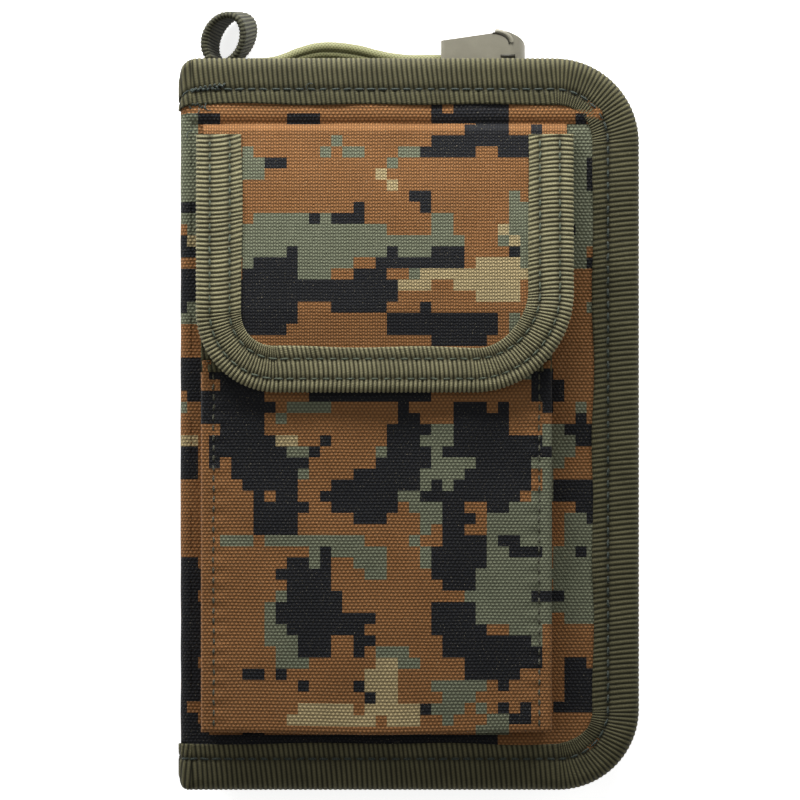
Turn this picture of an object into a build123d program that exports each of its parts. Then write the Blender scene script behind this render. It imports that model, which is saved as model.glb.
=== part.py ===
"""Trifold wallet: three bound cloth panels that fold like a Z, with a phone pocket under a flap.

Frame: the wallet lies closed on its back.  The origin is the middle of the back panel's rest face,
+Z points out of the front, +Y to the top edge and +X to the cover's free edge.  Millimetres.
From the table up come the back panel, the middle panel and the cover.  The right spine joins the
back panel to the middle one, and the left spine joins the middle panel to the cover.
"""
from build123d import *
import math
import os

# ---- Driving dimensions -------------------------------------------------------------------------
WIDTH = 120.0               # closed wallet, left spine to the cover's free edge
COVER_HEIGHT = 191.0        # cover and left spine, bottom to top
INNER_HEIGHT = 185.0        # back and middle panels, and right spine
TAPE_WIDTH = 12.0           # binding tape showing on one face of a panel
TAPE = 0.6                  # thickness of the tape, and of each cloth layer
SPINE = 1.6                 # thickness of a spine strip
GAP = 0.3                   # clearance between panels that fold
CORNER_TOP = 22.0           # free corners of the cover
CORNER_BOTTOM = 21.0
INNER_CORNER = 18.0         # free corners of the back and middle panels, and where the right spine ends

BACK_THICK = 3.4
MIDDLE_BOTTOM = 8.8
MIDDLE_THICK = 3.0
COVER_THICK = 4.0

SLOT_SHEET = 0.6            # one card slot's cloth
SLOT_TIERS = 3
INNER_POCKET = 0.8          # slip pocket on the inside of the cover, and those on the back panel

POCKET_LEFT = -54.3         # phone pocket on the front of the cover
POCKET_RIGHT = 37.3
POCKET_BOTTOM = -80.4
POCKET_MOUTH = 25.3
POCKET_DEPTH = 4.6
POCKET_WALL = 1.0

FLAP_LEFT = -55.4
FLAP_RIGHT = 42.8
FLAP_BOTTOM = 8.4
FLAP_TOP = 77.5
FLAP_THICK = 1.6
FLAP_TAPE = 11.7
FLAP_CORNER_LEFT = 21.0
FLAP_CORNER_RIGHT = 26.0
FLAP_CREST = 30.0           # the flap climbs from its seam to here, then lies level

HOOK_AND_LOOP = 0.7         # half of a hook-and-loop pair on the pocket
CLOSURE_STRIP = 1.3         # half of the pair that holds the wallet shut

CORD = 2.8                  # leash cord's diameter
HOOK_LENGTH = 22.0
HOOK_WIDTH = 9.4
HOOK_HEIGHT = 10.4
HOOK_LEFT = 8.4

# ---- Derived places -----------------------------------------------------------------------------
EDGE = WIDTH / 2
HALF_COVER = COVER_HEIGHT / 2
HALF_INNER = INNER_HEIGHT / 2
HALF_RIGHT_SPINE = HALF_INNER - INNER_CORNER
RIGHT_SPINE_OUTER = EDGE - 1.5                            # the cover's edge hides the right spine
INNER_RIGHT = RIGHT_SPINE_OUTER - SPINE - GAP
LEFT_START = -EDGE + SPINE + GAP

MIDDLE_TOP = MIDDLE_BOTTOM + MIDDLE_THICK
SLOTS_TOP = MIDDLE_TOP + SLOT_TIERS * SLOT_SHEET
COVER_BOTTOM = SLOTS_TOP + GAP + INNER_POCKET
COVER_TOP = COVER_BOTTOM + COVER_THICK
POCKET_FRONT = COVER_TOP + POCKET_DEPTH                   # inner face of the pocket's front
POCKET_TOP = POCKET_FRONT + POCKET_WALL
FLAP_INNER = POCKET_TOP + 2 * HOOK_AND_LOOP + 0.1         # inner face of the level part of the flap
FLAP_SEAM_RISE = 0.4                                      # inner face of the flap over the cover at its seam

os.makedirs("parts", exist_ok=True)


def save(piece, label):
    """Name a finished piece and write it to its own file."""
    piece.label = label
    export_step(piece, f"parts/{label}.step")
    print(f"{label:28s} {piece.volume:10.2f} mm3")


def outline(left, right, bottom, top, rounded=()):
    """Rectangle whose corners in `rounded`, each (x, y, radius), are rounded."""
    with BuildSketch() as shape:
        with Locations(((left + right) / 2, (bottom + top) / 2)):
            Rectangle(right - left, top - bottom)
        for x, y, radius in rounded:
            corner = shape.vertices().sort_by_distance((x, y, 0))[0]
            fillet(corner, radius)
    return shape.sketch


def slab(shape, bottom, thickness):
    """Flat layer with the outline `shape`."""
    with BuildPart() as layer:
        with BuildSketch(Plane.XY.offset(bottom)):
            add(shape)
        extrude(amount=thickness)
    return layer.part


def box_between(left, right, bottom, top, low, high):
    """Plain rectangular layer, given by its limits along X, Y and Z."""
    return slab(outline(left, right, bottom, top), low, high - low)


def bound_layers(name, full, inside, core, bottom, thickness):
    """Cloth, board, lining and the binding tape that wraps the panel's free edges.

    full is the panel's outline, inside the part of a face that the tape leaves free and core the
    board's outline inside the folded tape.
    """
    save(slab(inside, bottom, TAPE), f"{name}_rear_cloth")
    save(slab(core, bottom + TAPE, thickness - 2 * TAPE), f"{name}_board")
    save(slab(inside, bottom + thickness - TAPE, TAPE), f"{name}_front_cloth")
    with BuildPart() as binding:
        with BuildSketch(Plane.XY.offset(bottom)):
            add(full)
        extrude(amount=thickness)
        with BuildSketch(Plane.XY.offset(bottom)):
            add(inside)
        extrude(amount=thickness, mode=Mode.SUBTRACT)
        with BuildSketch(Plane.XY.offset(bottom + TAPE)):
            add(core)
        extrude(amount=thickness - 2 * TAPE, mode=Mode.SUBTRACT)
    strips = binding.part.solids().sort_by(Axis.Y)
    if len(strips) == 1:
        save(binding.part, f"{name}_binding")
    else:
        save(strips[0], f"{name}_binding_bottom")
        save(strips[-1], f"{name}_binding_top")


# ---- Panels -------------------------------------------------------------------------------------
def spine_side(left, left_inset, left_radius):
    """Part of a back or middle panel's face that the tape leaves free.

    The tape goes round the two corners beside the right spine and stops where the spine starts.
    """
    edge = INNER_RIGHT - TAPE_WIDTH
    top = HALF_INNER - TAPE_WIDTH
    corners = [(edge, y, INNER_CORNER - TAPE_WIDTH) for y in (-top, top)]
    if left_radius:
        corners += [(left + left_inset, y, left_radius) for y in (-top, top)]
    between_tapes = outline(left + left_inset, edge, -top, top, corners)
    return between_tapes + outline(edge, INNER_RIGHT, -HALF_RIGHT_SPINE, HALF_RIGHT_SPINE)


def back_panel():
    """Panel that the wallet rests on, bound on its left, top and bottom."""
    left = -INNER_RIGHT
    corners = [(x, y) for x in (left, INNER_RIGHT) for y in (-HALF_INNER, HALF_INNER)]
    full = outline(left, INNER_RIGHT, -HALF_INNER, HALF_INNER,
                   [(x, y, INNER_CORNER) for x, y in corners])
    core = outline(left + TAPE, INNER_RIGHT, TAPE - HALF_INNER, HALF_INNER - TAPE,
                   [(x, y, INNER_CORNER - TAPE) for x, y in corners])
    inside = spine_side(left, TAPE_WIDTH, INNER_CORNER - TAPE_WIDTH)
    bound_layers("back", full, inside, core, 0.0, BACK_THICK)


def middle_panel():
    """Panel between the two spines, bound at its top and bottom only."""
    corners = [(INNER_RIGHT, y) for y in (-HALF_INNER, HALF_INNER)]
    full = outline(LEFT_START, INNER_RIGHT, -HALF_INNER, HALF_INNER,
                   [(x, y, INNER_CORNER) for x, y in corners])
    core = outline(LEFT_START, INNER_RIGHT, TAPE - HALF_INNER, HALF_INNER - TAPE,
                   [(x, y, INNER_CORNER - TAPE) for x, y in corners])
    inside = spine_side(LEFT_START, 0.0, 0.0)
    bound_layers("middle", full, inside, core, MIDDLE_BOTTOM, MIDDLE_THICK)


def cover_panel():
    """Front panel with two large round corners, bound on its top, right and bottom."""
    full = outline(LEFT_START, EDGE, -HALF_COVER, HALF_COVER,
                   ((EDGE, HALF_COVER, CORNER_TOP), (EDGE, -HALF_COVER, CORNER_BOTTOM)))
    inside = outline(LEFT_START, EDGE - TAPE_WIDTH, TAPE_WIDTH - HALF_COVER, HALF_COVER - TAPE_WIDTH,
                     ((EDGE, HALF_COVER, CORNER_TOP - TAPE_WIDTH),
                      (EDGE, -HALF_COVER, CORNER_BOTTOM - TAPE_WIDTH)))
    core = outline(LEFT_START, EDGE - TAPE, TAPE - HALF_COVER, HALF_COVER - TAPE,
                   ((EDGE, HALF_COVER, CORNER_TOP - TAPE), (EDGE, -HALF_COVER, CORNER_BOTTOM - TAPE)))
    bound_layers("cover", full, inside, core, COVER_BOTTOM, COVER_THICK)


def spine(name, left, half_height, low, high):
    """Cloth strip that stands between two panels, with the tape wrapped round its two ends."""
    right = left + SPINE
    cloth_end = half_height - TAPE_WIDTH
    save(box_between(left, right, -cloth_end, cloth_end, low, high), f"{name}_cloth")
    save(box_between(left, right, cloth_end, half_height, low, high), f"{name}_binding_top")
    save(box_between(left, right, -half_height, -cloth_end, low, high), f"{name}_binding_bottom")


# ---- Back panel's inner pockets -----------------------------------------------------------------
def back_pockets():
    """A slip pocket and a card window on the inside of the back panel."""
    left, right = -43.0, 53.0
    top = BACK_THICK + INNER_POCKET
    save(box_between(left, right, -78.0, -20.0, BACK_THICK, top), "back_slip_pocket")
    window_bottom, window_top = -14.0, 50.0
    rim = 8.0
    pane = outline(left + rim, right - rim, window_bottom + rim, window_top - rim,
                   [(x, y, 4.0) for x in (left, right) for y in (window_bottom, window_top)])
    with BuildPart() as frame:
        with BuildSketch(Plane.XY.offset(BACK_THICK)):
            add(outline(left, right, window_bottom, window_top))
            add(pane, mode=Mode.SUBTRACT)
        extrude(amount=INNER_POCKET)
    save(frame.part, "card_window_frame")
    film = 0.3
    save(slab(pane, BACK_THICK + film, film), "card_window_film")


# ---- Middle panel's card slots and zip pocket ---------------------------------------------------
def card_slots():
    """Two stacks of stepped card slots, an upper and a lower one."""
    left, right = -52.0, 38.0
    first_height, step = 48.0, 13.0
    for stack, base in (("lower", -80.0), ("upper", 4.0)):
        for tier in range(SLOT_TIERS):
            top = base + first_height + (SLOT_TIERS - 1 - tier) * step
            low = MIDDLE_TOP + tier * SLOT_SHEET
            layer = box_between(left, right, base, top, low, low + SLOT_SHEET)
            save(layer, f"card_slot_{stack}_{tier + 1}")


ZIP_LINE = 62.0             # Y of the zip, which runs along X under the middle panel
ZIP_LEFT = -50.0
ZIP_RIGHT = 46.0
ZIP_TAPE = 6.0              # tape on each side of the zip line, less half the gap between the tapes
ZIP_SPLIT = 1.2
ZIP_CLOTH = 1.0             # front of the zip pocket
SLIDER_LENGTH = 9.0
SLIDER_WIDTH = 7.6


def zip_pocket():
    """Zip pocket under the middle panel: two cloth pieces, two tapes, teeth, stops and slider."""
    low = MIDDLE_BOTTOM - ZIP_CLOTH
    save(box_between(ZIP_LEFT, ZIP_RIGHT, -82.0, ZIP_LINE - ZIP_TAPE, low, MIDDLE_BOTTOM), "zip_pocket_front")
    save(box_between(ZIP_LEFT, ZIP_RIGHT, ZIP_LINE + ZIP_TAPE, 78.0, low, MIDDLE_BOTTOM), "zip_pocket_header")
    half_split = ZIP_SPLIT / 2
    save(box_between(ZIP_LEFT, ZIP_RIGHT, ZIP_LINE + half_split, ZIP_LINE + ZIP_TAPE, low, MIDDLE_BOTTOM),
         "zip_tape_upper")
    save(box_between(ZIP_LEFT, ZIP_RIGHT, ZIP_LINE - ZIP_TAPE, ZIP_LINE - half_split, low, MIDDLE_BOTTOM),
         "zip_tape_lower")
    tooth_pitch = 2.6
    tooth_length = 2.6
    tooth_height = 0.9
    count = 34
    for side, label in ((1, "zip_teeth_upper"), (-1, "zip_teeth_lower")):
        first = ZIP_LEFT + 4.0 + (tooth_pitch / 2 if side > 0 else 0.0)
        middle = ZIP_LINE + side * (half_split + 0.3)
        places = [(first + index * tooth_pitch, middle) for index in range(count)]
        with BuildPart() as teeth:
            with BuildSketch(Plane.XY.offset(low - tooth_height)):
                with Locations(*places):
                    Rectangle(tooth_pitch / 2 - 0.2, tooth_length)
            extrude(amount=tooth_height)
        save(teeth.part, label)
    stop_x = ZIP_RIGHT - 2.0
    save(box_between(stop_x - 1.6, stop_x, ZIP_LINE - 2.6, ZIP_LINE + 2.6, low - tooth_height, low),
         "zip_end_stop")
    zip_slider(low)


def zip_slider(tape_face):
    """Slider straddling the teeth, with its pull tab lying flat under it."""
    left = ZIP_LEFT + 4.5
    side = 1.2
    wall_top = tape_face - 0.15
    plate_top = tape_face - 1.3
    plate_bottom = plate_top - 0.9
    middle_x = left + SLIDER_LENGTH / 2
    with BuildPart() as slider:
        with BuildSketch(Plane.XY.offset(plate_bottom)):
            with Locations((middle_x, ZIP_LINE)):
                RectangleRounded(SLIDER_LENGTH, SLIDER_WIDTH, 2.0)
        extrude(amount=plate_top - plate_bottom)
        with BuildSketch(Plane.XY.offset(plate_top)):
            for direction in (-1, 1):
                with Locations((middle_x, ZIP_LINE + direction * (SLIDER_WIDTH - side) / 2)):
                    Rectangle(SLIDER_LENGTH - 4.0, side)
        extrude(amount=wall_top - plate_top)
    save(slider.part, "zip_slider")
    tab_length, tab_width, tab_thick = 15.0, 5.0, 0.8
    with BuildPart() as tab:
        with BuildSketch(Plane.XY.offset(plate_bottom - tab_thick)):
            with Locations((middle_x + tab_length / 2 - 1.0, ZIP_LINE)):
                RectangleRounded(tab_length, tab_width, 1.5)
            with Locations((middle_x + tab_length - 4.0, ZIP_LINE)):
                SlotOverall(5.0, 2.0, mode=Mode.SUBTRACT)
        extrude(amount=tab_thick)
    save(tab.part, "zip_pull_tab")


# ---- Cover's fittings ---------------------------------------------------------------------------
def cover_inside():
    """Slip pocket inside the cover, and the hook-and-loop pair that keeps the wallet shut."""
    pocket_low = COVER_BOTTOM - INNER_POCKET
    save(box_between(-52.0, 38.0, -81.0, 30.0, pocket_low, COVER_BOTTOM), "cover_slip_pocket")
    left, right, half_length = 41.0, 47.5, 60.0
    loop_top = MIDDLE_TOP + CLOSURE_STRIP - 0.1
    save(box_between(left, right, -half_length, half_length, MIDDLE_TOP, loop_top), "closure_loop_strip")
    save(box_between(left, right, -half_length, half_length, loop_top + GAP, COVER_BOTTOM),
         "closure_hook_strip")


def phone_pocket():
    """Pocket on the front of the cover: a front, three gusset walls and a bound mouth."""
    low = COVER_TOP
    inner_bottom = POCKET_BOTTOM + POCKET_WALL
    mouth_tape = 11.7
    front = outline(POCKET_LEFT, POCKET_RIGHT, POCKET_BOTTOM, POCKET_MOUTH - mouth_tape)
    save(slab(front, POCKET_FRONT, POCKET_WALL), "pocket_front")
    save(box_between(POCKET_LEFT, POCKET_RIGHT, POCKET_MOUTH - mouth_tape, POCKET_MOUTH,
                     POCKET_FRONT, POCKET_TOP), "pocket_mouth_binding")
    save(box_between(POCKET_LEFT, POCKET_LEFT + POCKET_WALL, inner_bottom, POCKET_MOUTH,
                     low, POCKET_FRONT), "pocket_gusset_left")
    save(box_between(POCKET_RIGHT - POCKET_WALL, POCKET_RIGHT, inner_bottom, POCKET_MOUTH,
                     low, POCKET_FRONT), "pocket_gusset_right")
    save(box_between(POCKET_LEFT, POCKET_RIGHT, POCKET_BOTTOM, inner_bottom, low, POCKET_FRONT),
         "pocket_gusset_bottom")
    save(patch(POCKET_TOP), "pocket_loop_patch")


def patch(bottom):
    """Half of the hook-and-loop pair under the flap's lower edge."""
    middle_x = (FLAP_LEFT + FLAP_RIGHT) / 2
    return slab(outline(middle_x - 25.0, middle_x + 25.0, 11.0, 24.0), bottom, HOOK_AND_LOOP)


# ---- Flap ---------------------------------------------------------------------------------------
def flap_sheet(shape, low_offset, thickness):
    """Layer of the flap: it climbs from the seam to the crest, then lies level over the pocket."""
    seam = COVER_TOP + FLAP_SEAM_RISE + low_offset
    level = FLAP_INNER + low_offset
    points = [(FLAP_TOP, seam), (FLAP_CREST, level), (FLAP_BOTTOM, level),
              (FLAP_BOTTOM, level + thickness), (FLAP_CREST, level + thickness), (FLAP_TOP, seam + thickness)]
    with BuildPart() as layer:
        with BuildSketch(Plane.YZ.offset(FLAP_LEFT)):
            with BuildLine():
                Polyline(*points, close=True)
            make_face()
        extrude(amount=FLAP_RIGHT - FLAP_LEFT)
        with BuildSketch(Plane.XY):
            add(shape)
        extrude(amount=2 * FLAP_INNER, mode=Mode.INTERSECT)
    return layer.part


def flap():
    """Pocket flap, bound on its left, bottom and right, and its hook patch."""
    full = outline(FLAP_LEFT, FLAP_RIGHT, FLAP_BOTTOM, FLAP_TOP,
                   ((FLAP_LEFT, FLAP_BOTTOM, FLAP_CORNER_LEFT), (FLAP_RIGHT, FLAP_BOTTOM, FLAP_CORNER_RIGHT)))
    inside = outline(FLAP_LEFT + FLAP_TAPE, FLAP_RIGHT - FLAP_TAPE, FLAP_BOTTOM + FLAP_TAPE, FLAP_TOP,
                     ((FLAP_LEFT, FLAP_BOTTOM, FLAP_CORNER_LEFT - FLAP_TAPE),
                      (FLAP_RIGHT, FLAP_BOTTOM, FLAP_CORNER_RIGHT - FLAP_TAPE)))
    layer = FLAP_THICK / 2
    save(flap_sheet(inside, 0.0, layer), "flap_lining")
    save(flap_sheet(inside, layer, layer), "flap_cloth")
    binding_outline = full - inside
    save(flap_sheet(binding_outline, 0.0, FLAP_THICK), "flap_binding")
    save(patch(FLAP_INNER - HOOK_AND_LOOP), "flap_hook_patch")


# ---- Lanyard loop, leash and snap hook ----------------------------------------------------------
LOOP_FOOT_RIGHT = -41.5
LOOP_LOW = 0.3
LOOP_TAPE = 10.0            # width of the loop's webbing, which stands on edge


def lanyard_loop():
    """Webbing loop sewn to the top edge of the back panel near its left corner."""
    foot_left, foot_top = -53.5, 95.4
    centre = (-47.2, 100.9)
    with BuildPart() as loop:
        with BuildSketch(Plane.XY.offset(LOOP_LOW)):
            with Locations(((foot_left + LOOP_FOOT_RIGHT) / 2, (HALF_INNER + foot_top) / 2)):
                Rectangle(LOOP_FOOT_RIGHT - foot_left, foot_top - HALF_INNER)
            with Locations(centre):
                Ellipse(7.0, 6.7)
                Ellipse(5.2, 4.7, mode=Mode.SUBTRACT)
        extrude(amount=LOOP_TAPE)
    save(loop.part, "lanyard_loop")


CORD_HEIGHT = 1.7
# Leash's route in plan, from the loop's foot to the hook, chosen by hand.
LEASH_ROUTE = [(-41.5, 94.6), (-37.0, 94.6), (-33.0, 95.6), (-28.5, 97.6), (-22.5, 99.1), (-14.0, 98.3),
               (-7.0, 96.3), (-0.5, 95.4), (4.0, 95.5), (8.4, 95.5)]


def leash_cord():
    """Braided cord from the loop's foot to the snap hook, lying on the table."""
    points = [Vector(x, y, CORD_HEIGHT) for x, y in LEASH_ROUTE]
    runs = [(end - start).length for start, end in zip(points, points[1:])]
    radii = []
    for index in range(1, len(points) - 1):
        turn = (points[index] - points[index - 1]).get_angle(points[index + 1] - points[index])
        shorter = min(runs[index - 1], runs[index])
        radii.append(0.45 * shorter / math.tan(math.radians(turn) / 2))
    print("leash runs", [round(run, 1) for run in runs], "radii", [round(radius, 1) for radius in radii])
    with BuildPart() as cord:
        with BuildLine() as path:
            FilletPolyline(*points, radius=radii)
        middle_line = path.wire()
        with BuildSketch(Plane(origin=middle_line @ 0, z_dir=middle_line % 0)):
            Circle(CORD / 2)
        sweep(path=middle_line)
    expected = math.pi * CORD ** 2 / 4 * middle_line.length
    print(f"leash length {middle_line.length:.1f} mm, section times length {expected:.1f} mm3")
    save(cord.part, "leash_cord")


HOOK_LOW = 0.1
HOOK_FRONT = 93.1           # lower Y face of the hook
PIVOT_X = HOOK_LEFT + 4.4
PIVOT_Z = HOOK_LOW + 1.5
PIN = 1.2


def snap_hook():
    """Moulded snap hook, standing on its gate side: body, sprung gate and the gate's pin."""
    right = HOOK_LEFT + HOOK_LENGTH
    high = HOOK_LOW + HOOK_HEIGHT
    tail = 6.6                  # solid end that holds the cord and the gate's pivot
    nose = 4.6                  # solid end that the gate's tip closes against
    top_bar = 2.4
    front_wall = 3.4
    gate_room = 3.0             # height of the mouth that the gate fills
    swing_room = 1.2            # room above the gate's knuckle when it is pressed in
    eye_left, eye_right = HOOK_LEFT + tail, right - front_wall
    eye_low, eye_high = HOOK_LOW + gate_room, high - top_bar
    nose_left = right - nose
    side_plane = Plane.XZ.offset(-HOOK_FRONT - HOOK_WIDTH)
    with BuildPart() as body:
        with BuildSketch(side_plane):
            add(outline(HOOK_LEFT, right, HOOK_LOW, high,
                        ((HOOK_LEFT, high, 1.2), (right, high, 4.2), (right, HOOK_LOW, 3.0))))
            add(outline(eye_left, eye_right, eye_low, eye_high,
                        ((eye_left, eye_high, 1.5), (eye_right, eye_high, 2.4))), mode=Mode.SUBTRACT)
            add(outline(eye_left, nose_left, HOOK_LOW, eye_low), mode=Mode.SUBTRACT)
        extrude(amount=HOOK_WIDTH)
        knuckle_slot = 5.6
        knuckle_left = PIVOT_X - 1.7
        with BuildSketch(Plane.XZ.offset(-HOOK_FRONT - (HOOK_WIDTH + knuckle_slot) / 2)):
            add(outline(knuckle_left, eye_left, HOOK_LOW, eye_low + swing_room))
        extrude(amount=knuckle_slot, mode=Mode.SUBTRACT)
        with BuildSketch(side_plane):
            with Locations((PIVOT_X, PIVOT_Z)):
                Circle(PIN / 2)
        extrude(amount=HOOK_WIDTH, mode=Mode.SUBTRACT)
    save(body.part, "hook_body")

    gate_width = knuckle_slot - 0.4
    gate_half = 1.2
    with BuildPart() as gate:
        with BuildSketch(Plane.XZ.offset(-HOOK_FRONT - (HOOK_WIDTH + gate_width) / 2)):
            with Locations((PIVOT_X, PIVOT_Z)):
                Circle(gate_half)
            add(outline(PIVOT_X, nose_left - 0.3, PIVOT_Z - gate_half, PIVOT_Z + gate_half))
            with Locations((PIVOT_X, PIVOT_Z)):
                Circle(PIN / 2 + 0.05, mode=Mode.SUBTRACT)
        extrude(amount=gate_width)
    save(gate.part, "hook_gate")

    with BuildPart() as pin:
        with BuildSketch(side_plane):
            with Locations((PIVOT_X, PIVOT_Z)):
                Circle(PIN / 2)
        extrude(amount=HOOK_WIDTH)
    save(pin.part, "hook_gate_pin")


back_panel()
back_pockets()
spine("right_spine", RIGHT_SPINE_OUTER - SPINE, HALF_RIGHT_SPINE, 0.0, MIDDLE_TOP)
middle_panel()
card_slots()
zip_pocket()
spine("left_spine", -EDGE, HALF_COVER, MIDDLE_BOTTOM, COVER_TOP)
cover_panel()
cover_inside()
phone_pocket()
flap()
lanyard_loop()
leash_cord()
snap_hook()
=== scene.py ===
"""Trifold wallet in ribbed tape and blocky camouflage cloth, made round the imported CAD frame.

Lengths are millimetres until a mesh is made, which is in metres.  Every cloth mesh carries a point
attribute "mm": its first two numbers are the place on the flat cloth in millimetres, and the third is
the height of the rib or fold there, from 0 to 1.  The materials read it, so a pattern keeps its scale
and stays on the cloth when a fold opens.
"""
import math

import bmesh
import bpy
import numpy as np
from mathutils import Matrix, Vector


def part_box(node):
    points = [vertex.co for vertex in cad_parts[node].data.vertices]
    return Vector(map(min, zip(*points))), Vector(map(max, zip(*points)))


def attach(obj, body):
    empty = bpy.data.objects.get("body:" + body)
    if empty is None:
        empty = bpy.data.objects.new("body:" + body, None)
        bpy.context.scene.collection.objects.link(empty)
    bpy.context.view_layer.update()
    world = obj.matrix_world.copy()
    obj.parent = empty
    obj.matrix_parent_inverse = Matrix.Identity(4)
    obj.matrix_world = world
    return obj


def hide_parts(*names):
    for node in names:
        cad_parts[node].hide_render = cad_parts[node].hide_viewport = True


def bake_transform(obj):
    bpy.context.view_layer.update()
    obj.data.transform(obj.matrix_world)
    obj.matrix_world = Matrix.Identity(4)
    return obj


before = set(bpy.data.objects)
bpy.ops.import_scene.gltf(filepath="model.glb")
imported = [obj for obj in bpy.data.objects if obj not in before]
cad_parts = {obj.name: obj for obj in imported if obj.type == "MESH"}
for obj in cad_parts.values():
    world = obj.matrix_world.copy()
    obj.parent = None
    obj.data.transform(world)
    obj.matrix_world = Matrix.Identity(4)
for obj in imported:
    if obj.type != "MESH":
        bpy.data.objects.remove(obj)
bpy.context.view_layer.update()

MM = 0.001
UP = np.array((0.0, 0.0, 1.0))


def box_mm(node):
    """Lowest and highest corner of a CAD node, in millimetres."""
    low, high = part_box(node)
    return np.array(low) / MM, np.array(high) / MM


# ---- Places, from the frame ---------------------------------------------------------------------
COVER_LOW, COVER_HIGH = box_mm("cover_binding")
CLOTH_LOW, CLOTH_HIGH = box_mm("cover_front_cloth")
SPINE_LOW, SPINE_HIGH = box_mm("left_spine_cloth")
POCKET_LOW, POCKET_HIGH = box_mm("pocket_front")
MOUTH_LOW, MOUTH_HIGH = box_mm("pocket_mouth_binding")
FLAP_LOW, FLAP_HIGH = box_mm("flap_binding")
FLAP_CLOTH_LOW, FLAP_CLOTH_HIGH = box_mm("flap_cloth")
BACK_LOW, BACK_HIGH = box_mm("back_binding")
COVER_TOP = COVER_HIGH[2]
COVER_THICK = COVER_HIGH[2] - COVER_LOW[2]
TAPE_WIDTH = COVER_HIGH[1] - CLOTH_HIGH[1]
FLAP_TAPE = FLAP_CLOTH_LOW[1] - FLAP_LOW[1]
COVER_CORNER_TOP = 22.0
COVER_CORNER_BOTTOM = 21.0
INNER_CORNER = 18.0


# ---- Mesh making --------------------------------------------------------------------------------
def finish_piece(name, vertices, faces, mm, material):
    """Make a mesh object from millimetre vertices, with its "mm" attribute and material."""
    mesh = bpy.data.meshes.new(name)
    mesh.from_pydata((np.asarray(vertices) * MM).tolist(), [], faces)
    attribute = mesh.attributes.new("mm", "FLOAT_VECTOR", "POINT")
    attribute.data.foreach_set("vector", np.asarray(mm, dtype=np.float32).ravel())
    mesh.shade_smooth()
    mesh.materials.append(material)
    piece = bpy.data.objects.new(name, mesh)
    bpy.context.scene.collection.objects.link(piece)
    return piece


def grid_faces(rows, columns, first=0, flip=False):
    """Quads of a grid of vertices whose numbering starts at `first`."""
    corner = first + np.arange(rows - 1)[:, None] * columns + np.arange(columns - 1)[None, :]
    quads = np.stack([corner, corner + columns, corner + columns + 1, corner + 1], axis=-1).reshape(-1, 4)
    if flip:
        quads = quads[:, ::-1]
    return quads.tolist()


def round_faces(rings, sides, first=0, flip=False):
    """Faces of a bar made of rings of vertices, numbered from `first`, with both of its ends closed."""
    here = first + np.arange(rings - 1)[:, None] * sides + np.arange(sides)[None, :]
    beside = np.roll(here, -1, axis=1)
    faces = np.stack([here, beside, beside + sides, here + sides], axis=-1).reshape(-1, 4).tolist()
    last = first + (rings - 1) * sides
    faces += [list(range(first + sides - 1, first - 1, -1)), list(range(last, last + sides))]
    return [face[::-1] for face in faces] if flip else faces


def stacked(*parts):
    """Coordinates made of parts that are broadcast to one shape."""
    return np.stack(np.broadcast_arrays(*parts), axis=-1)


def stand_in(piece, body, *nodes):
    """Put a piece in the place of CAD nodes, and let it ride on their body."""
    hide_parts(*nodes)
    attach(piece, body)


def normals_of(points):
    """Unit normals of a grid of points."""
    normal = np.cross(np.gradient(points, axis=0), np.gradient(points, axis=1))
    return normal / np.maximum(np.linalg.norm(normal, axis=2, keepdims=True), 1e-9)


def shell(name, points, mm, thickness, material, base=None):
    """Closed sheet whose outer side is the grid `points`; its inner side lies under the smooth `base`."""
    base = points if base is None else base
    inner = base - normals_of(base) * thickness
    rows, columns = points.shape[:2]
    count = rows * columns
    faces = grid_faces(rows, columns) + grid_faces(rows, columns, count, flip=True)
    number = np.arange(count).reshape(rows, columns)
    rim = np.concatenate([number[::-1, 0], number[0, 1:], number[1:, -1], number[-1, -2::-1]])
    following = np.roll(rim, -1)
    faces += np.stack([rim, following, following + count, rim + count], axis=1).tolist()
    vertices = np.concatenate([points.reshape(-1, 3), inner.reshape(-1, 3)])
    return finish_piece(name, vertices, faces, np.concatenate([mm.reshape(-1, 3)] * 2), material)


def lattice(x_low, x_high, y_low, y_high, step):
    """X and Y of a flat grid, ordered so that its faces look up."""
    xs = np.linspace(x_low, x_high, max(2, int(round((x_high - x_low) / step)) + 1))
    ys = np.linspace(y_low, y_high, max(2, int(round((y_high - y_low) / step)) + 1))
    return np.meshgrid(xs, ys, indexing="ij")


def waves(x, y, size, seed):
    """Gentle unevenness of sewn cloth, about -1 to 1, with bumps about `size` millimetres across."""
    total = np.zeros_like(np.asarray(x, dtype=float))
    draw = np.random.default_rng(seed)
    for _ in range(6):
        angle, phase = draw.uniform(0, 2 * math.pi, 2)
        stretch = draw.uniform(0.7, 1.5) / size
        total = total + np.sin(2 * math.pi * stretch * (x * math.cos(angle) + y * math.sin(angle)) + phase)
    return total / 3.0


def groove(distance, width):
    """How deep cloth is pulled in at `distance` from a seam, from 1 at the seam to 0."""
    return np.exp(-(distance / width) ** 2)


# ---- Paths --------------------------------------------------------------------------------------
def lengths_along(path):
    """Length walked along a line of points, from 0 at the first."""
    return np.concatenate([[0], np.cumsum(np.linalg.norm(np.diff(path, axis=0), axis=1))])


def even_walk(path, step, extra=0):
    """A line of points walked in even steps: places, unit directions and lengths."""
    length = lengths_along(path)
    even = np.linspace(0, length[-1], int(length[-1] / step) + extra)
    walked = np.stack([np.interp(even, length, coordinate) for coordinate in path.T], axis=1)
    direction = np.gradient(walked, axis=0)
    direction /= np.linalg.norm(direction, axis=1, keepdims=True)
    return walked, direction, even


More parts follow.
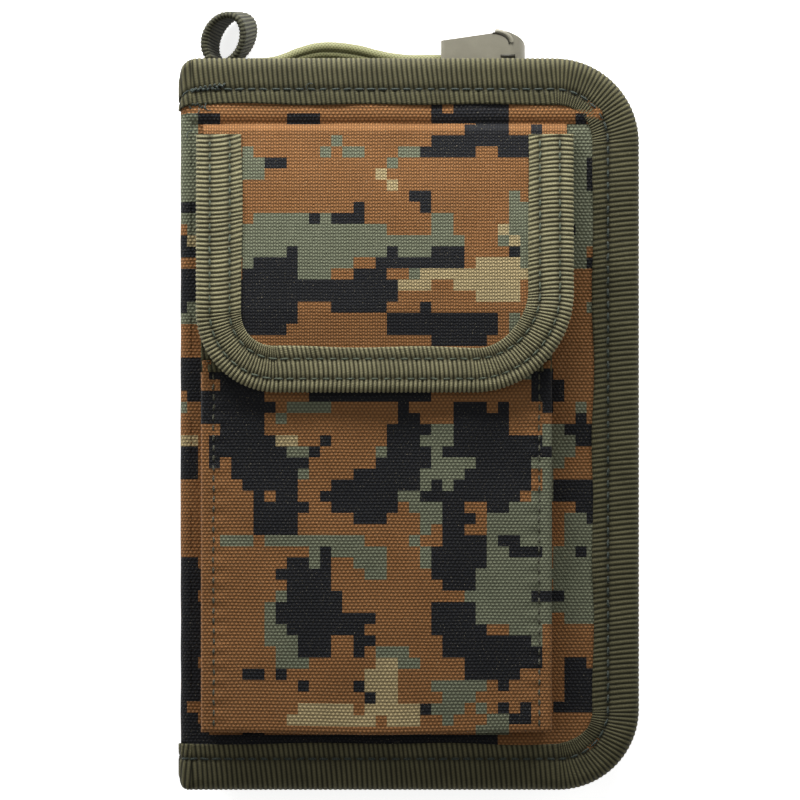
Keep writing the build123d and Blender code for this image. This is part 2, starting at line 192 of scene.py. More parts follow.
def rounded_path(corners, step):
    """Points, directions and lengths along a flat line through `corners`, each (x, y, radius)."""
    points = [np.array(corner[:2], dtype=float) for corner in corners]
    pieces = []
    start = points[0]
    for before, here, after, radius in zip(points, points[1:], points[2:], [c[2] for c in corners[1:]]):
        into = (here - before) / np.linalg.norm(here - before)
        out = (after - here) / np.linalg.norm(after - here)
        turn = math.atan2(into[0] * out[1] - into[1] * out[0], into @ out)
        reach = radius * math.tan(abs(turn) / 2)
        entry = here - into * reach
        pieces.append(("line", start, entry))
        left = np.array((-into[1], into[0])) * math.copysign(1, turn)
        pieces.append(("arc", entry + left * radius, entry, turn))
        start = here + out * reach
    pieces.append(("line", start, points[-1]))
    track = []
    for piece in pieces:
        if piece[0] == "line":
            count = max(2, int(np.linalg.norm(piece[2] - piece[1]) / step))
            track += [piece[1] + (piece[2] - piece[1]) * share for share in np.arange(count) / count]
        else:
            _, centre, entry, turn = piece
            arm = entry - centre
            count = max(2, int(abs(turn) * np.linalg.norm(arm) / step))
            for share in np.arange(count) / count:
                c, s = math.cos(turn * share), math.sin(turn * share)
                track.append(centre + np.array((arm[0] * c - arm[1] * s, arm[0] * s + arm[1] * c)))
    track.append(points[-1])
    return even_walk(np.array(track), step, extra=1)


def panel_edge(corners, z, step):
    """Edge of a flat panel, walked with the panel on the left: places, outward directions, lengths."""
    track, direction, length = rounded_path(corners, step)
    places = stacked(track[:, 0], track[:, 1], z)
    outward = stacked(direction[:, 1], -direction[:, 0], 0.0)
    return places, outward, np.tile(UP, (len(track), 1)), length


# ---- Ribbed tape --------------------------------------------------------------------------------
RIB_PITCH = 1.3
RIB_HEIGHT = 0.17
TAPE_STEP = 0.16            # length of a tape's faces along it
SEAM_INSET = 8.0            # a panel's seam lies this far in from its edge
SEAM_SINK = 0.1             # and this far below the tape's face


def tape_section(width, thick, seams):
    """Half-folded tape round an edge: distance in from the edge, height, normal and seam pull."""
    reach = min(0.62 * thick + 0.5, 0.4 * width)
    flat = np.linspace(width, reach, max(3, int((width - reach) / 0.55)))
    level = np.zeros(len(flat))
    angle = np.linspace(math.pi / 2, -math.pi / 2, 15)[1:-1]
    inward = np.concatenate([flat, reach * (1 - np.cos(angle)), flat[::-1]])
    height = np.concatenate([level, (np.sin(angle) - 1) * thick / 2, level - thick])
    out = np.concatenate([level, np.cos(angle), level])
    up = np.concatenate([level + 1, np.sin(angle), level - 1])
    pull = np.zeros(len(inward))
    for seam in seams:
        pull = np.maximum(pull, groove(inward - seam, 0.75))
    return inward, height, out, up, pull


def ribbed_tape(name, edge, width, thick, seams, material, warp=None, seed=1, rib=RIB_HEIGHT,
                pitch=RIB_PITCH, slant=0.12, arch=0.15):
    """Binding tape folded over an edge, with real cross ribs, and pulled in along its seams.

    The ribs slant, and arch across the tape by arch.  warp, if given, moves the finished points.
    """
    places, outward, face, length = edge
    if np.cross(places[1] - places[0], -outward[0]) @ face[0] < 0:
        places, outward, face, length = places[::-1], outward[::-1], face[::-1], length[::-1]
    inward, height, out, up, pull = (part[::-1] for part in tape_section(width, thick, seams))
    across = np.concatenate([[0], np.cumsum(np.hypot(np.diff(inward), np.diff(height)))])
    sway = 0.25 * waves(length, 0 * length, 34.0, seed)[:, None]
    swell = 0.12 * waves(length, 0 * length, 21.0, seed + 50)[:, None]
    uneven = 0.3 * waves(length, 0 * length, 9.0, seed + 90)[:, None] * inward / width
    bowed = arch * (2 * inward / width - 1) ** 2 + slant * inward
    ribs = (0.5 + 0.5 * np.cos(2 * math.pi * (length[:, None] + bowed + uneven) / pitch)) ** 0.8
    places_in = inward + sway * np.clip((inward - width + 1.6) / 1.6, 0, 1)
    base = places[:, None, :] - places_in[..., None] * outward[:, None, :]
    base = base + (height + swell * up)[..., None] * face[:, None, :]
    normal = out[None, :, None] * outward[:, None, :] + up[None, :, None] * face[:, None, :]
    points = base + (rib * ribs - 0.34 * pull)[..., None] * normal
    if warp is not None:
        points, base = warp(points), warp(base)
    # The rib height is lowered along the seams, so the tape's material paints shade into the seam grooves.
    mm = stacked(length[:, None], across, ribs * (1 - 0.7 * pull))
    return shell(name, points, mm, 0.45, material, base)


# ---- Stitches -----------------------------------------------------------------------------------
STITCH_PITCH = 3.1
THREAD = 0.27               # thread's radius


def stitches(name, places, normals, material, pitch=STITCH_PITCH, share=0.8, radius=THREAD):
    """Row of lockstitches along a line: each is a short thread that dives into the cloth at its ends."""
    draw = np.random.default_rng(3)
    length = lengths_along(places)
    normals = np.broadcast_to(normals, places.shape)

    def at_length(line, at):
        return np.array([np.interp(at, length, coordinate) for coordinate in line.T])

    count = max(1, int(length[-1] / pitch))
    rings, sides = 7, 6
    vertices, faces, mm = [], [], []
    around = np.arange(sides) * 2 * math.pi / sides
    for index in range(count):
        start = (index + 0.5 * (1 - share)) * length[-1] / count
        run = share * length[-1] / count
        skew = draw.normal(0, 0.06)
        for ring in range(rings):
            along = ring / (rings - 1)
            at = start + run * along
            here, up = at_length(places, at), at_length(normals, at)
            forward = at_length(places, at + 0.3) - at_length(places, at - 0.3)
            forward /= max(np.linalg.norm(forward), 1e-9)
            side = np.cross(up, forward)
            arch = math.sin(math.pi * along)
            middle = here + up * radius * (1.5 * arch ** 0.6 - 1.3) + side * skew * (2 * along - 1)
            thick = radius * (0.62 + 0.38 * arch)
            for angle in around:
                vertices.append(middle + thick * (math.cos(angle) * side + math.sin(angle) * up))
                mm.append((at, angle, arch))
        faces += round_faces(rings, sides, len(vertices) - rings * sides)
    return finish_piece(name, vertices, faces, mm, material)


def tube(name, path, radius, material, sides=10):
    """Round bar along a path of points, with closed ends."""
    path = np.asarray(path, dtype=float)
    direction = np.gradient(path, axis=0)
    direction /= np.maximum(np.linalg.norm(direction, axis=1, keepdims=True), 1e-9)
    helper = np.where(np.abs(direction[:, 2:]) > 0.9, (1.0, 0.0, 0.0), UP)
    side = np.cross(helper, direction)
    side /= np.linalg.norm(side, axis=1, keepdims=True)
    over = np.cross(direction, side)
    around = np.arange(sides) * 2 * math.pi / sides
    points = path[:, None] + radius * (np.cos(around)[None, :, None] * side[:, None]
                                       + np.sin(around)[None, :, None] * over[:, None])
    mm = np.broadcast_to(path[:, None], points.shape).reshape(-1, 3)
    return finish_piece(name, points.reshape(-1, 3), round_faces(len(path), sides), mm, material)


def inset_line(edge, inset, lift, warp=None, skip=0.0):
    """Line on a panel's face, `inset` in from its edge and `lift` above the face."""
    places, outward, face, length = edge
    line = places - inset * outward + lift * face
    if warp is not None:
        line = warp(line)
    keep = (length >= skip) & (length <= length[-1] - skip)
    return line[keep]


# ---- Materials ----------------------------------------------------------------------------------
def colour(red, green, blue):
    """Linear colour from screen values between 0 and 255."""
    def linear(value):
        value = value / 255
        return value / 12.92 if value <= 0.04045 else ((value + 0.055) / 1.055) ** 2.4
    return (linear(red), linear(green), linear(blue), 1.0)


class Nodes:
    """Short ways to add shader nodes to one material."""

    def __init__(self, name, roughness, sheen=0.0, metallic=0.0, specular=0.5):
        self.material = bpy.data.materials.new(name)
        self.material.use_nodes = True
        self.tree = self.material.node_tree
        self.shader = self.tree.nodes["Principled BSDF"]
        self.shader.inputs["Roughness"].default_value = roughness
        self.shader.inputs["Metallic"].default_value = metallic
        self.shader.inputs["Specular IOR Level"].default_value = specular
        self.shader.inputs["Sheen Weight"].default_value = sheen
        self.shader.inputs["Sheen Roughness"].default_value = 0.5

    def add(self, kind, **settings):
        node = self.tree.nodes.new(kind)
        for key, value in settings.items():
            setattr(node, key, value)
        return node

    def put(self, socket, value):
        """Set a socket to a number or colour, or link another socket to it."""
        if isinstance(value, bpy.types.NodeSocket):
            self.tree.links.new(value, socket)
        elif isinstance(value, tuple):
            socket.default_value = value[:len(socket.default_value)]
        elif value is not None:
            socket.default_value = value

    def math(self, operation, first, second=None, third=None, clamp=False):
        node = self.add("ShaderNodeMath", operation=operation, use_clamp=clamp)
        for socket, value in zip(node.inputs, (first, second, third)):
            self.put(socket, value)
        return node.outputs[0]

    def place(self, solid=False):
        """Place in millimetres: on the flat cloth, with the height of the rib, or in a solid piece."""
        if solid:
            source = self.add("ShaderNodeVectorMath", operation="SCALE")
            self.put(source.inputs[0], self.add("ShaderNodeTexCoord").outputs["Object"])
            source.inputs["Scale"].default_value = 1 / MM
            vector = source.outputs[0]
        else:
            vector = self.add("ShaderNodeAttribute", attribute_name="mm").outputs["Vector"]
        split = self.add("ShaderNodeSeparateXYZ")
        self.put(split.inputs[0], vector)
        return vector, split.outputs[0], split.outputs[1], split.outputs[2]

    def noise(self, vector, size, detail=2.0, roughness=0.5, stretch=(1, 1, 1)):
        """Noise from 0 to 1 whose features are about `size` units of `vector` across."""
        scaled = self.add("ShaderNodeVectorMath", operation="MULTIPLY")
        self.put(scaled.inputs[0], vector)
        scaled.inputs[1].default_value = stretch
        node = self.add("ShaderNodeTexNoise")
        self.put(node.inputs["Vector"], scaled.outputs[0])
        node.inputs["Scale"].default_value = 1 / size
        node.inputs["Detail"].default_value = detail
        node.inputs["Roughness"].default_value = roughness
        return node.outputs["Fac"]

    def mix(self, share, first, second):
        """Blend of two colours."""
        node = self.add("ShaderNodeMix", data_type="RGBA")
        self.put(node.inputs["Factor"], share)
        self.put(node.inputs[6], first)
        self.put(node.inputs[7], second)
        return node.outputs[2]

    def spread(self, value, low, high, to_low=0.0, to_high=1.0):
        """Map value from low..high to to_low..to_high, held at the ends."""
        node = self.add("ShaderNodeMapRange")
        for socket, number in zip(node.inputs, (value, low, high, to_low, to_high)):
            self.put(socket, number)
        return node.outputs[0]

    def shade(self, tint, amount):
        """Multiply a colour by a number."""
        node = self.add("ShaderNodeVectorMath", operation="SCALE")
        self.put(node.inputs[0], tint)
        self.put(node.inputs["Scale"], amount)
        return node.outputs[0]

    def finish(self, tint, height, depth, roughness):
        """Colour, bump of that depth in millimetres, and roughness."""
        self.put(self.shader.inputs["Base Color"], tint)
        self.put(self.shader.inputs["Roughness"], roughness)
        bump = self.add("ShaderNodeBump")
        bump.inputs["Distance"].default_value = depth * MM
        bump.inputs["Strength"].default_value = 1.0
        self.put(bump.inputs["Height"], height)
        self.put(self.shader.inputs["Normal"], bump.outputs[0])
        return self.material

    def hump(self, value, pitch):
        """Rounded ridges of that pitch, from 0 in the valleys to 1 on top."""
        wave = self.math("SINE", self.math("MULTIPLY", value, 2 * math.pi / pitch))
        return self.math("MULTIPLY_ADD", wave, 0.5, 0.5)

    def weave(self, x, y, across, along, stagger=0.5):
        """Plain weave: height from 0 to 1, each float crowned, and every other column moved by stagger."""
        column = self.math("FLOOR", self.math("DIVIDE", x, across))
        odd = self.math("MODULO", self.math("ABSOLUTE", column), 2.0)
        moved = self.math("MULTIPLY_ADD", odd, along * stagger, y)
        float_crown = self.hump(moved, along)
        thread_crown = self.hump(self.math("SUBTRACT", x, across / 4), across)
        return self.math("POWER", self.math("MULTIPLY", float_crown, thread_crown), 0.7)


BROWN = colour(150, 105, 64)
GREEN = colour(121, 125, 103)
BLACK = colour(38, 39, 42)
TAN = colour(180, 162, 120)
CAMO_CELL = 2.9             # side of one block of the camouflage print


def camouflage(name, patches=None, turned=False, shift=(0, 0)):
    """Blocky four-colour print on a plain weave, with painted shade in the weave's hollows and painted light
    on its crowns.

    patches gives, for each colour, where it gathers: (x, y, half width, half height), millimetres.
    """
    n = Nodes(name, 0.85, sheen=0.03, specular=0.15)
    vector, x, y, _ = n.place()
    block = n.add("ShaderNodeVectorMath", operation="SNAP")
    n.put(block.inputs[0], vector)
    block.inputs[1].default_value = (CAMO_CELL, CAMO_CELL, 1000.0)
    flat = n.add("ShaderNodeVectorMath", operation="MULTIPLY_ADD")
    n.put(flat.inputs[0], block.outputs[0])
    flat.inputs[1].default_value = (1, 1, 0)
    flat.inputs[2].default_value = (CAMO_CELL / 2, CAMO_CELL / 2, 0)
    cell = flat.outputs[0]
    fields = {}
    chance = (("green", 22, -0.09), ("tan", 13, -0.17), ("black", 13, -0.1))
    for index, (shade_name, size, bias) in enumerate(chance):
        moved = n.add("ShaderNodeVectorMath", operation="ADD")
        n.put(moved.inputs[0], cell)
        moved.inputs[1].default_value = (shift[0] + 310 * index, shift[1] + 170 * index, 0)
        rough = n.noise(moved.outputs[0], size, 3.0, 0.62, (0.8, 1.2, 1))
        fields[shade_name] = n.math("ADD", rough, bias)
    gathered = [(key, patch) for key, group in (patches or {}).items() for patch in group]
    for shade_name, (at_x, at_y, half_width, half_height) in gathered:
        near = n.add("ShaderNodeVectorMath", operation="MULTIPLY_ADD")
        n.put(near.inputs[0], cell)
        near.inputs[1].default_value = (1 / half_width, 1 / half_height, 0)
        near.inputs[2].default_value = (-at_x / half_width, -at_y / half_height, 0)
        reach = n.add("ShaderNodeVectorMath", operation="LENGTH")
        n.put(reach.inputs[0], near.outputs[0])
        pull = n.spread(reach.outputs["Value"], 0.7, 1.5, 0.22, 0.0)
        fields[shade_name] = n.math("ADD", fields[shade_name], pull)
    tint = BROWN
    for shade_name, ink in (("green", GREEN), ("tan", TAN), ("black", BLACK)):
        tint = n.mix(n.math("GREATER_THAN", fields[shade_name], 0.5), tint, ink)
    if turned:
        across, along, stagger, first, second = 0.85, 1.08, 0.5, y, x
    else:
        across, along, stagger, first, second = 0.68, 0.86, 0.16, x, y
    wander = n.math("MULTIPLY_ADD", n.noise(vector, 14.0), 0.5, -0.25)
    weave = n.weave(n.math("ADD", first, wander), n.math("ADD", second, wander), across, along, stagger)
    thread = n.noise(vector, 0.5, 2.0, 0.6)
    patch = n.noise(vector, 9.0, 3.0, 0.6)
    # Painted shade and light: the weave's hollows are darkened and its crowns lightened; thread and patch
    # add random tone.
    light = n.spread(weave, 0.0, 1.0, 0.55, 1.32)
    light = n.math("MULTIPLY", light, n.spread(thread, 0.3, 0.7, 0.84, 1.16))
    light = n.math("MULTIPLY", light, n.spread(patch, 0.3, 0.7, 0.93, 1.07))
    tint = n.shade(tint, light)
    fluff = n.spread(n.noise(vector, 0.35, 1.0), 0.66, 0.78)
    tint = n.mix(n.math("MULTIPLY", fluff, 0.3), tint, colour(196, 184, 150))
    height = n.math("ADD", weave, n.math("MULTIPLY", thread, 0.35))
    return n.finish(tint, height, 0.16, n.spread(thread, 0.3, 0.7, 0.74, 0.9))


def ribbed_cloth(name, valley_shade, crest_highlight):
    """Binding tape's weave: colour follows the mesh's own ribs, with painted shade in the rib valleys and
    painted highlight on the crests, and fine yarns run over them.
    """
    n = Nodes(name, 0.7, sheen=0.05, specular=0.2)
    vector, along, across, rib = n.place()
    yarn = n.hump(n.math("ADD", across, n.math("MULTIPLY", along, 0.15)), 0.42)
    fuzz = n.noise(vector, 0.3, 2.0, 0.6)
    worn = n.noise(vector, 7.0, 3.0, 0.55)
    # Painted shade and highlight: the rib's height blends from the valley shade to the crest highlight; the
    # yarns get painted shade between them, and worn adds random tone.
    share = n.math("MULTIPLY", rib, n.spread(fuzz, 0.25, 0.75, 0.6, 1.2), clamp=True)
    tint = n.mix(share, valley_shade, crest_highlight)
    light = n.math("MULTIPLY", n.spread(yarn, 0.0, 1.0, 0.86, 1.1), n.spread(worn, 0.3, 0.7, 0.86, 1.12))
    tint = n.shade(tint, light)
    height = n.math("ADD", n.math("MULTIPLY", yarn, 0.6), fuzz)
    return n.finish(tint, height, 0.07, n.spread(fuzz, 0.3, 0.7, 0.6, 0.8))


def plain_cloth(name, tint, pitch=0.45):
    """Fine plain-woven lining, with painted shade in the weave's hollows and painted light on its crowns."""
    n = Nodes(name, 0.75, sheen=0.15, specular=0.3)
    vector, x, y, _ = n.place()
    weave = n.weave(x, y, pitch, pitch * 2)
    patch = n.noise(vector, 12.0, 3.0)
    thread = n.noise(vector, 0.6, 2.0)
    # Painted shade in the weave's hollows and painted light on its crowns; patch and thread add random tone.
    light = n.math("MULTIPLY", n.spread(weave, 0, 1, 0.72, 1.2), n.spread(patch, 0.3, 0.7, 0.9, 1.1))
    shaded = n.shade(tint, n.math("MULTIPLY", light, n.spread(thread, 0.3, 0.7, 0.9, 1.1)))
    return n.finish(shaded, weave, 0.09, n.spread(thread, 0.3, 0.7, 0.68, 0.82))


def thread_colour(name, tint):
    """Twisted sewing thread, with painted shade between its plies and at each stitch's ends, where it sinks
    into the cloth.
    """
    n = Nodes(name, 0.6, sheen=0.3, specular=0.35)
    vector, along, around, arch = n.place()
    twist = n.hump(n.math("ADD", along, n.math("MULTIPLY", around, 0.1)), 0.45)
    # Painted shade between the plies, and darker towards each stitch's ends where the thread sinks into the
    # cloth.
    light = n.math("MULTIPLY", n.spread(twist, 0, 1, 0.65, 1.25), n.spread(arch, 0, 1, 0.6, 1.1))
    light = n.math("MULTIPLY", light, n.spread(n.noise(vector, 0.5), 0.3, 0.7, 0.85, 1.15))
    return n.finish(n.shade(tint, light), twist, 0.05, n.spread(twist, 0, 1, 0.7, 0.5))


def pile_cloth(name, tint, hooked):
    """Hook-and-loop tape: rows of small hooks, or a tangled loop pile, with painted shade in its hollows and
    painted light on its tops.
    """
    n = Nodes(name, 0.8, sheen=0.35 if not hooked else 0.1, specular=0.25)
    vector, x, y, _ = n.place()
    if hooked:
        rows = n.math("MULTIPLY", n.hump(x, 0.9), n.hump(y, 1.1))
        height = n.math("ADD", rows, n.math("MULTIPLY", n.noise(vector, 0.3), 0.5))
    else:
        height = n.noise(vector, 0.55, 4.0, 0.75)
    # Painted shade: low parts of the hooks or pile are darkened and high parts lightened, over random tone.
    light = n.math("MULTIPLY", n.spread(height, 0.15, 0.95, 0.6, 1.35),
                   n.spread(n.noise(vector, 6.0, 3.0), 0.3, 0.7, 0.88, 1.1))
    return n.finish(n.shade(tint, light), height, 0.35, n.spread(height, 0.2, 0.9, 0.9, 0.7))


def hard(name, tint, roughness, metallic=0.0, grain=0.6, depth=0.02):
    """Moulded or cast piece: fine surface grain, small scuffs and worn patches."""
    n = Nodes(name, roughness, metallic=metallic)
    vector, _, _, _ = n.place(solid=True)
    fine = n.noise(vector, grain, 3.0, 0.6)
    cloudy = n.noise(vector, 5.0, 3.0, 0.6)
    scuff = n.spread(n.noise(vector, 1.2, 4.0, 0.7, (0.3, 1, 1)), 0.62, 0.72)
    light = n.math("MULTIPLY", n.spread(cloudy, 0.3, 0.7, 0.94, 1.06), n.spread(fine, 0.3, 0.7, 0.96, 1.04))
    tinted = n.mix(n.math("MULTIPLY", scuff, 0.25), n.shade(tint, light), n.shade(tint, 1.3))
    speckle = n.spread(fine, 0.3, 0.7, roughness - 0.05, roughness + 0.08)
    uneven = n.math("MULTIPLY_ADD", scuff, 0.12, speckle)
    return n.finish(tinted, fine, depth, uneven)


def braided_cord(name, valley_shade, crest_highlight):
    """Cord's braid: colour follows the mesh's own plaits, with painted shade between the plaits and painted
    highlight on their tops.
    """
    n = Nodes(name, 0.55, sheen=0.25, specular=0.35)
    vector, along, around, plait = n.place()
    fibre = n.noise(vector, 0.12, 2.0, 0.6, (0.3, 1, 1))
    # Painted shade and highlight: the plait's height blends from the valley shade to the crest highlight.
    share = n.math("MULTIPLY", plait, n.spread(fibre, 0.3, 0.7, 0.7, 1.2), clamp=True)
    tint = n.mix(share, valley_shade, crest_highlight)
    return n.finish(tint, fibre, 0.03, n.spread(fibre, 0.3, 0.7, 0.45, 0.65))


def clear_film(name):
    """Slightly cloudy vinyl window."""
    n = Nodes(name, 0.12)
    n.shader.inputs["Transmission Weight"].default_value = 0.85
    n.shader.inputs["IOR"].default_value = 1.45
    vector, _, _, _ = n.place(solid=True)
    haze = n.noise(vector, 11.0, 3.0, 0.6)
    tint = n.mix(n.spread(haze, 0.3, 0.7), colour(214, 217, 212), colour(232, 235, 232))
    return n.finish(tint, haze, 0.08, n.spread(n.noise(vector, 2.0, 3.0), 0.3, 0.7, 0.08, 0.22))


# Tape and webbing: the first colour is painted shade in the rib valleys, the second painted highlight on the
# crests.
TAPE_CLOTH = ribbed_cloth("binding_tape", colour(30, 30, 18), colour(112, 108, 78))
FLAP_TAPE_CLOTH = ribbed_cloth("binding_tape_light", colour(32, 31, 16), colour(168, 162, 124))
WEBBING = ribbed_cloth("webbing_tape", colour(28, 28, 18), colour(94, 93, 74))
LINING = plain_cloth("lining_cloth", colour(70, 70, 52))
ZIP_CLOTH = plain_cloth("zip_tape", colour(62, 63, 46), 0.7)
THREAD_DARK = thread_colour("thread_dark", colour(43, 56, 47))
THREAD_GREEN = thread_colour("thread_green", colour(78, 88, 68))
THREAD_OLIVE = thread_colour("thread_olive", colour(72, 72, 52))
HOOK_CLOTH = pile_cloth("hook_tape", colour(56, 56, 42), hooked=True)
LOOP_CLOTH = pile_cloth("loop_tape", colour(66, 66, 50), hooked=False)
BOARD = hard("stiffener_board", colour(168, 163, 150), 0.9, grain=0.4, depth=0.05)
TEETH = hard("zip_teeth", colour(58, 58, 44), 0.45)
ZIP_METAL = hard("zip_metal", colour(70, 68, 58), 0.38, metallic=0.8)
STEEL = hard("steel_pin", colour(150, 150, 148), 0.3, metallic=1.0)
PLASTIC = hard("moulded_plastic", colour(146, 142, 126), 0.46, grain=0.35, depth=0.015)
# Dark plastic that paints the shade in the hook's groove and mouth; the hook itself is the pale plastic.
PAINTED_SHADE_PLASTIC = hard("moulded_plastic_painted_shade", colour(52, 49, 38), 0.6, grain=0.35, depth=0.015)
# Cord: the first colour is painted shade between the plaits, the second painted highlight on them.
CORD_CLOTH = braided_cord("braided_cord", colour(84, 86, 50), colour(150, 149, 104))
FILM = clear_film("clear_film")


# Where each colour of the print gathers, as (x, y, half width, half height) on the cloth; on the cover, the
# long black strip at (-20, -83) is painted shadow along the pocket's foot.
FLAP_PRINT = {
    "green": [(-23, 47, 21, 7), (28, 51, 4, 7), (6, 43, 8, 6), (29, 26, 4, 4)],
    "tan": [(10, 36, 18, 5), (24, 42, 6, 8)],
    "black": [(-37, 31, 9, 10), (-11, 34, 9, 4), (9, 26, 13, 4), (20, 72, 12, 4)],
}
POCKET_PRINT = {
    "green": [(5, -14, 8, 14), (-16, -35, 11, 7), (27, -37, 12, 15), (-30, -11, 5, 5), (-45, -30, 4, 3),
              (-33, -54, 3, 8)],
    "tan": [(-14, -76, 18, 4), (-6, -66, 5, 6)],
    "black": [(-45, 4, 8, 9), (-8, 8, 13, 3), (0, -4, 5, 10), (-11, -18, 8, 5), (22, -8, 12, 13),
              (-36, -17, 8, 11), (-25, -49, 9, 9), (-12, -61, 4, 9), (12, -42, 6, 16), (24, -60, 9, 6)],
}
COVER_PRINT = {
    "green": [(-57, 62, 4, 15), (45, 60, 6, 14), (46, -38, 7, 12), (-26, 81, 7, 2)],
    "tan": [(-58, 48, 2, 3)],
    "black": [(-59, 38, 3, 9), (-57, 12, 5, 5), (-58, -62, 5, 20), (46, -2, 5, 3), (46, -17, 7, 4),
              # The long thin black patch (-20, -83, 35, 3) is painted shadow under the pocket's bottom edge,
              # not print.
              (14, 82, 10, 3), (-20, -83, 35, 3), (46, -70, 6, 8)],
}
FLAP_CAMO = camouflage("camo_flap", FLAP_PRINT)
POCKET_CAMO = camouflage("camo_pocket", POCKET_PRINT, turned=True)
COVER_CAMO = camouflage("camo_cover", COVER_PRINT, turned=True)
BACK_CAMO = camouflage("camo_back", shift=(90, 40))


# ---- Soft sheets --------------------------------------------------------------------------------
def cloth_lift(x, y, low, high, hem, round_off):
    """Height change of a sewn sheet near its edges: the edge rolls down, and the seam pulls in."""
    inside = np.minimum.reduce([x - low[0], high[0] - x, y - low[1], high[1] - y])
    part = np.clip(1 - inside / round_off, 0, 1)
    lift = -round_off * (1 - np.sqrt(np.clip(1 - part ** 2, 0, 1)))
    if hem:
        lift = lift - 0.16 * groove(inside - hem, 0.6)
    return lift


def soft_sheet(name, node, material, body, up=True, grow=0.0, sink=0.0, hem=0.0, uneven=0.0,
               step=0.8, warp=None, seed=5):
    """Sewn cloth in place of a flat CAD node, facing up or down.

    grow widens it under the tape on three sides, sink lowers its face below the CAD's, hem is how far in
    its seam lies, uneven is how far it bulges, and warp moves the finished points.
    """
    low, high = box_mm(node)
    low, high = low - (0, grow, 0), high + (grow, grow, 0)
    x, y = lattice(low[0], high[0], low[1], high[1], step)
    depth = high[2] - low[2]
    round_off = min(0.45, 0.6 * depth) if not grow else 0.05
    lift = cloth_lift(x, y, low, high, hem, round_off) + uneven * waves(x, y, 18.0, seed) - sink
    facing = 1 if up else -1
    level = high[2] if up else low[2]
    points = stacked(x, y, level + facing * lift)
    if warp is not None:
        points = warp(points)
    mm = stacked(x, y, 1.0)
    if not up:
        points, mm = points[::-1], mm[::-1]
    piece = shell(name, points, mm, depth - sink, material)
    stand_in(piece, body, node)


def box_edge(low, high, z, radius, closed_top=False, step=0.5):
    """Edge of a flat piece from its top left corner down, round the bottom and up its right side."""
    corners = [(low[0], high[1], 0), (low[0], low[1], radius), (high[0], low[1], radius),
               (high[0], high[1], 0)]
    if closed_top:
        middle = (low[0] + high[0]) / 2
        corners = [(middle, high[1], 0), (low[0], high[1], radius)] + corners[1:3]
        corners += [(high[0], high[1], radius), (middle, high[1], 0)]
    return panel_edge(corners, z, step)


def hem_stitches(name, node, inset, body, up=True, closed_top=False):
    """Stitches down both sides and along the bottom of a sewn-on flat piece, and along its top if closed."""
    low, high = box_mm(node)
    edge = box_edge(low, high, high[2] if up else low[2], 1.5, closed_top)
    line = inset_line(edge, inset, 0.0)
    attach(stitches(name, line, UP if up else -UP, THREAD_OLIVE), body)


# ---- Panels -------------------------------------------------------------------------------------
PLAN_CORNER_TOP = 4.7       # how round the spine's ends look from the front
PLAN_CORNER_BOTTOM = 2.6


def ease(value, low, high):
    """0 below low, 1 above high, and smooth between."""
    part = np.clip((value - low) / (high - low), 0, 1)
    return part * part * (3 - 2 * part)


def round_plan(points):
    """Draw the spine's ends in, so that the wallet's left corners are round from the front."""
    points = points.copy()
    for sign, radius in ((1, PLAN_CORNER_TOP), (-1, PLAN_CORNER_BOTTOM)):
        across = np.clip(radius - (points[..., 0] - SPINE_LOW[0]), 0, radius)
        drop = radius - np.sqrt(np.maximum(radius ** 2 - across ** 2, 0))
        reach = sign * points[..., 1]
        share = ease(reach, COVER_HIGH[1] - 3 * radius - 3, COVER_HIGH[1] - radius)
        points[..., 1] -= sign * drop * share
    return points


def taped_edge(name, node, body, edge, thick, seams, seed=1, warp=None):
    """Tape folded over a panel's edge, and its seam's stitches on the upper and the lower face."""
    tape = ribbed_tape(name, edge, TAPE_WIDTH, thick, (SEAM_INSET,), TAPE_CLOTH, warp=warp, seed=seed)
    stand_in(tape, body, node)
    lifts = (-SEAM_SINK, SEAM_SINK - thick)
    for seam, lift, facing in zip(seams, lifts, (UP, -UP)):
        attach(stitches(seam, inset_line(edge, SEAM_INSET, lift, warp), facing, THREAD_DARK), body)


def tuck_under_flap(points):
    """The cover's cloth swells above the flap's seam, and dips into it."""
    points = points.copy()
    above = points[..., 1] - FLAP_HIGH[1]
    points[..., 2] += 0.4 * groove(above - 3.4, 1.9) - 0.35 * groove(above - 0.6, 0.9)
    return points


def cover():
    """Cover: cloth on both faces in a ribbed tape, with one seam all round."""
    low, high = COVER_LOW, COVER_HIGH
    corners = [(low[0], low[1], 0), (high[0], low[1], COVER_CORNER_BOTTOM),
               (high[0], high[1], COVER_CORNER_TOP), (low[0], high[1], 0)]
    taped_edge("cover_tape", "cover_binding", "cover", panel_edge(corners, COVER_TOP, TAPE_STEP),
               COVER_THICK, ("cover_seam_front", "cover_seam_inside"), warp=round_plan)
    soft_sheet("cover_cloth_front", "cover_front_cloth", COVER_CAMO, "cover",
               grow=2.5, sink=0.3, uneven=0.06, step=0.7, seed=11, warp=tuck_under_flap)
    soft_sheet("cover_cloth_inside", "cover_rear_cloth", LINING, "cover", up=False,
               grow=2.5, sink=0.3, uneven=0.05, seed=12)


def middle_panel():
    """Middle panel: lining on both faces, with tape along its top and bottom."""
    for name, sign in (("top", 1), ("bottom", -1)):
        node = "middle_binding_" + name
        low, high = box_mm(node)
        end = BACK_HIGH[1]
        corners = [(low[0], sign * end, 0), (high[0], sign * end, INNER_CORNER),
                   (high[0], sign * (end - INNER_CORNER - 0.5), 0)]
        places, outward, face, length = panel_edge(corners, high[2], 0.22)
        seams = [f"middle_seam_{name}_{side}" for side in ("slots", "zip")]
        taped_edge("middle_tape_" + name, node, "middle", (places, -sign * outward, face, length),
                   high[2] - low[2], seams, seed=21)
    soft_sheet("middle_cloth_slots", "middle_front_cloth", LINING, "middle", sink=0.2,
               seed=22)
    soft_sheet("middle_cloth_zip", "middle_rear_cloth", LINING, "middle", up=False, sink=0.2,
               seed=23)


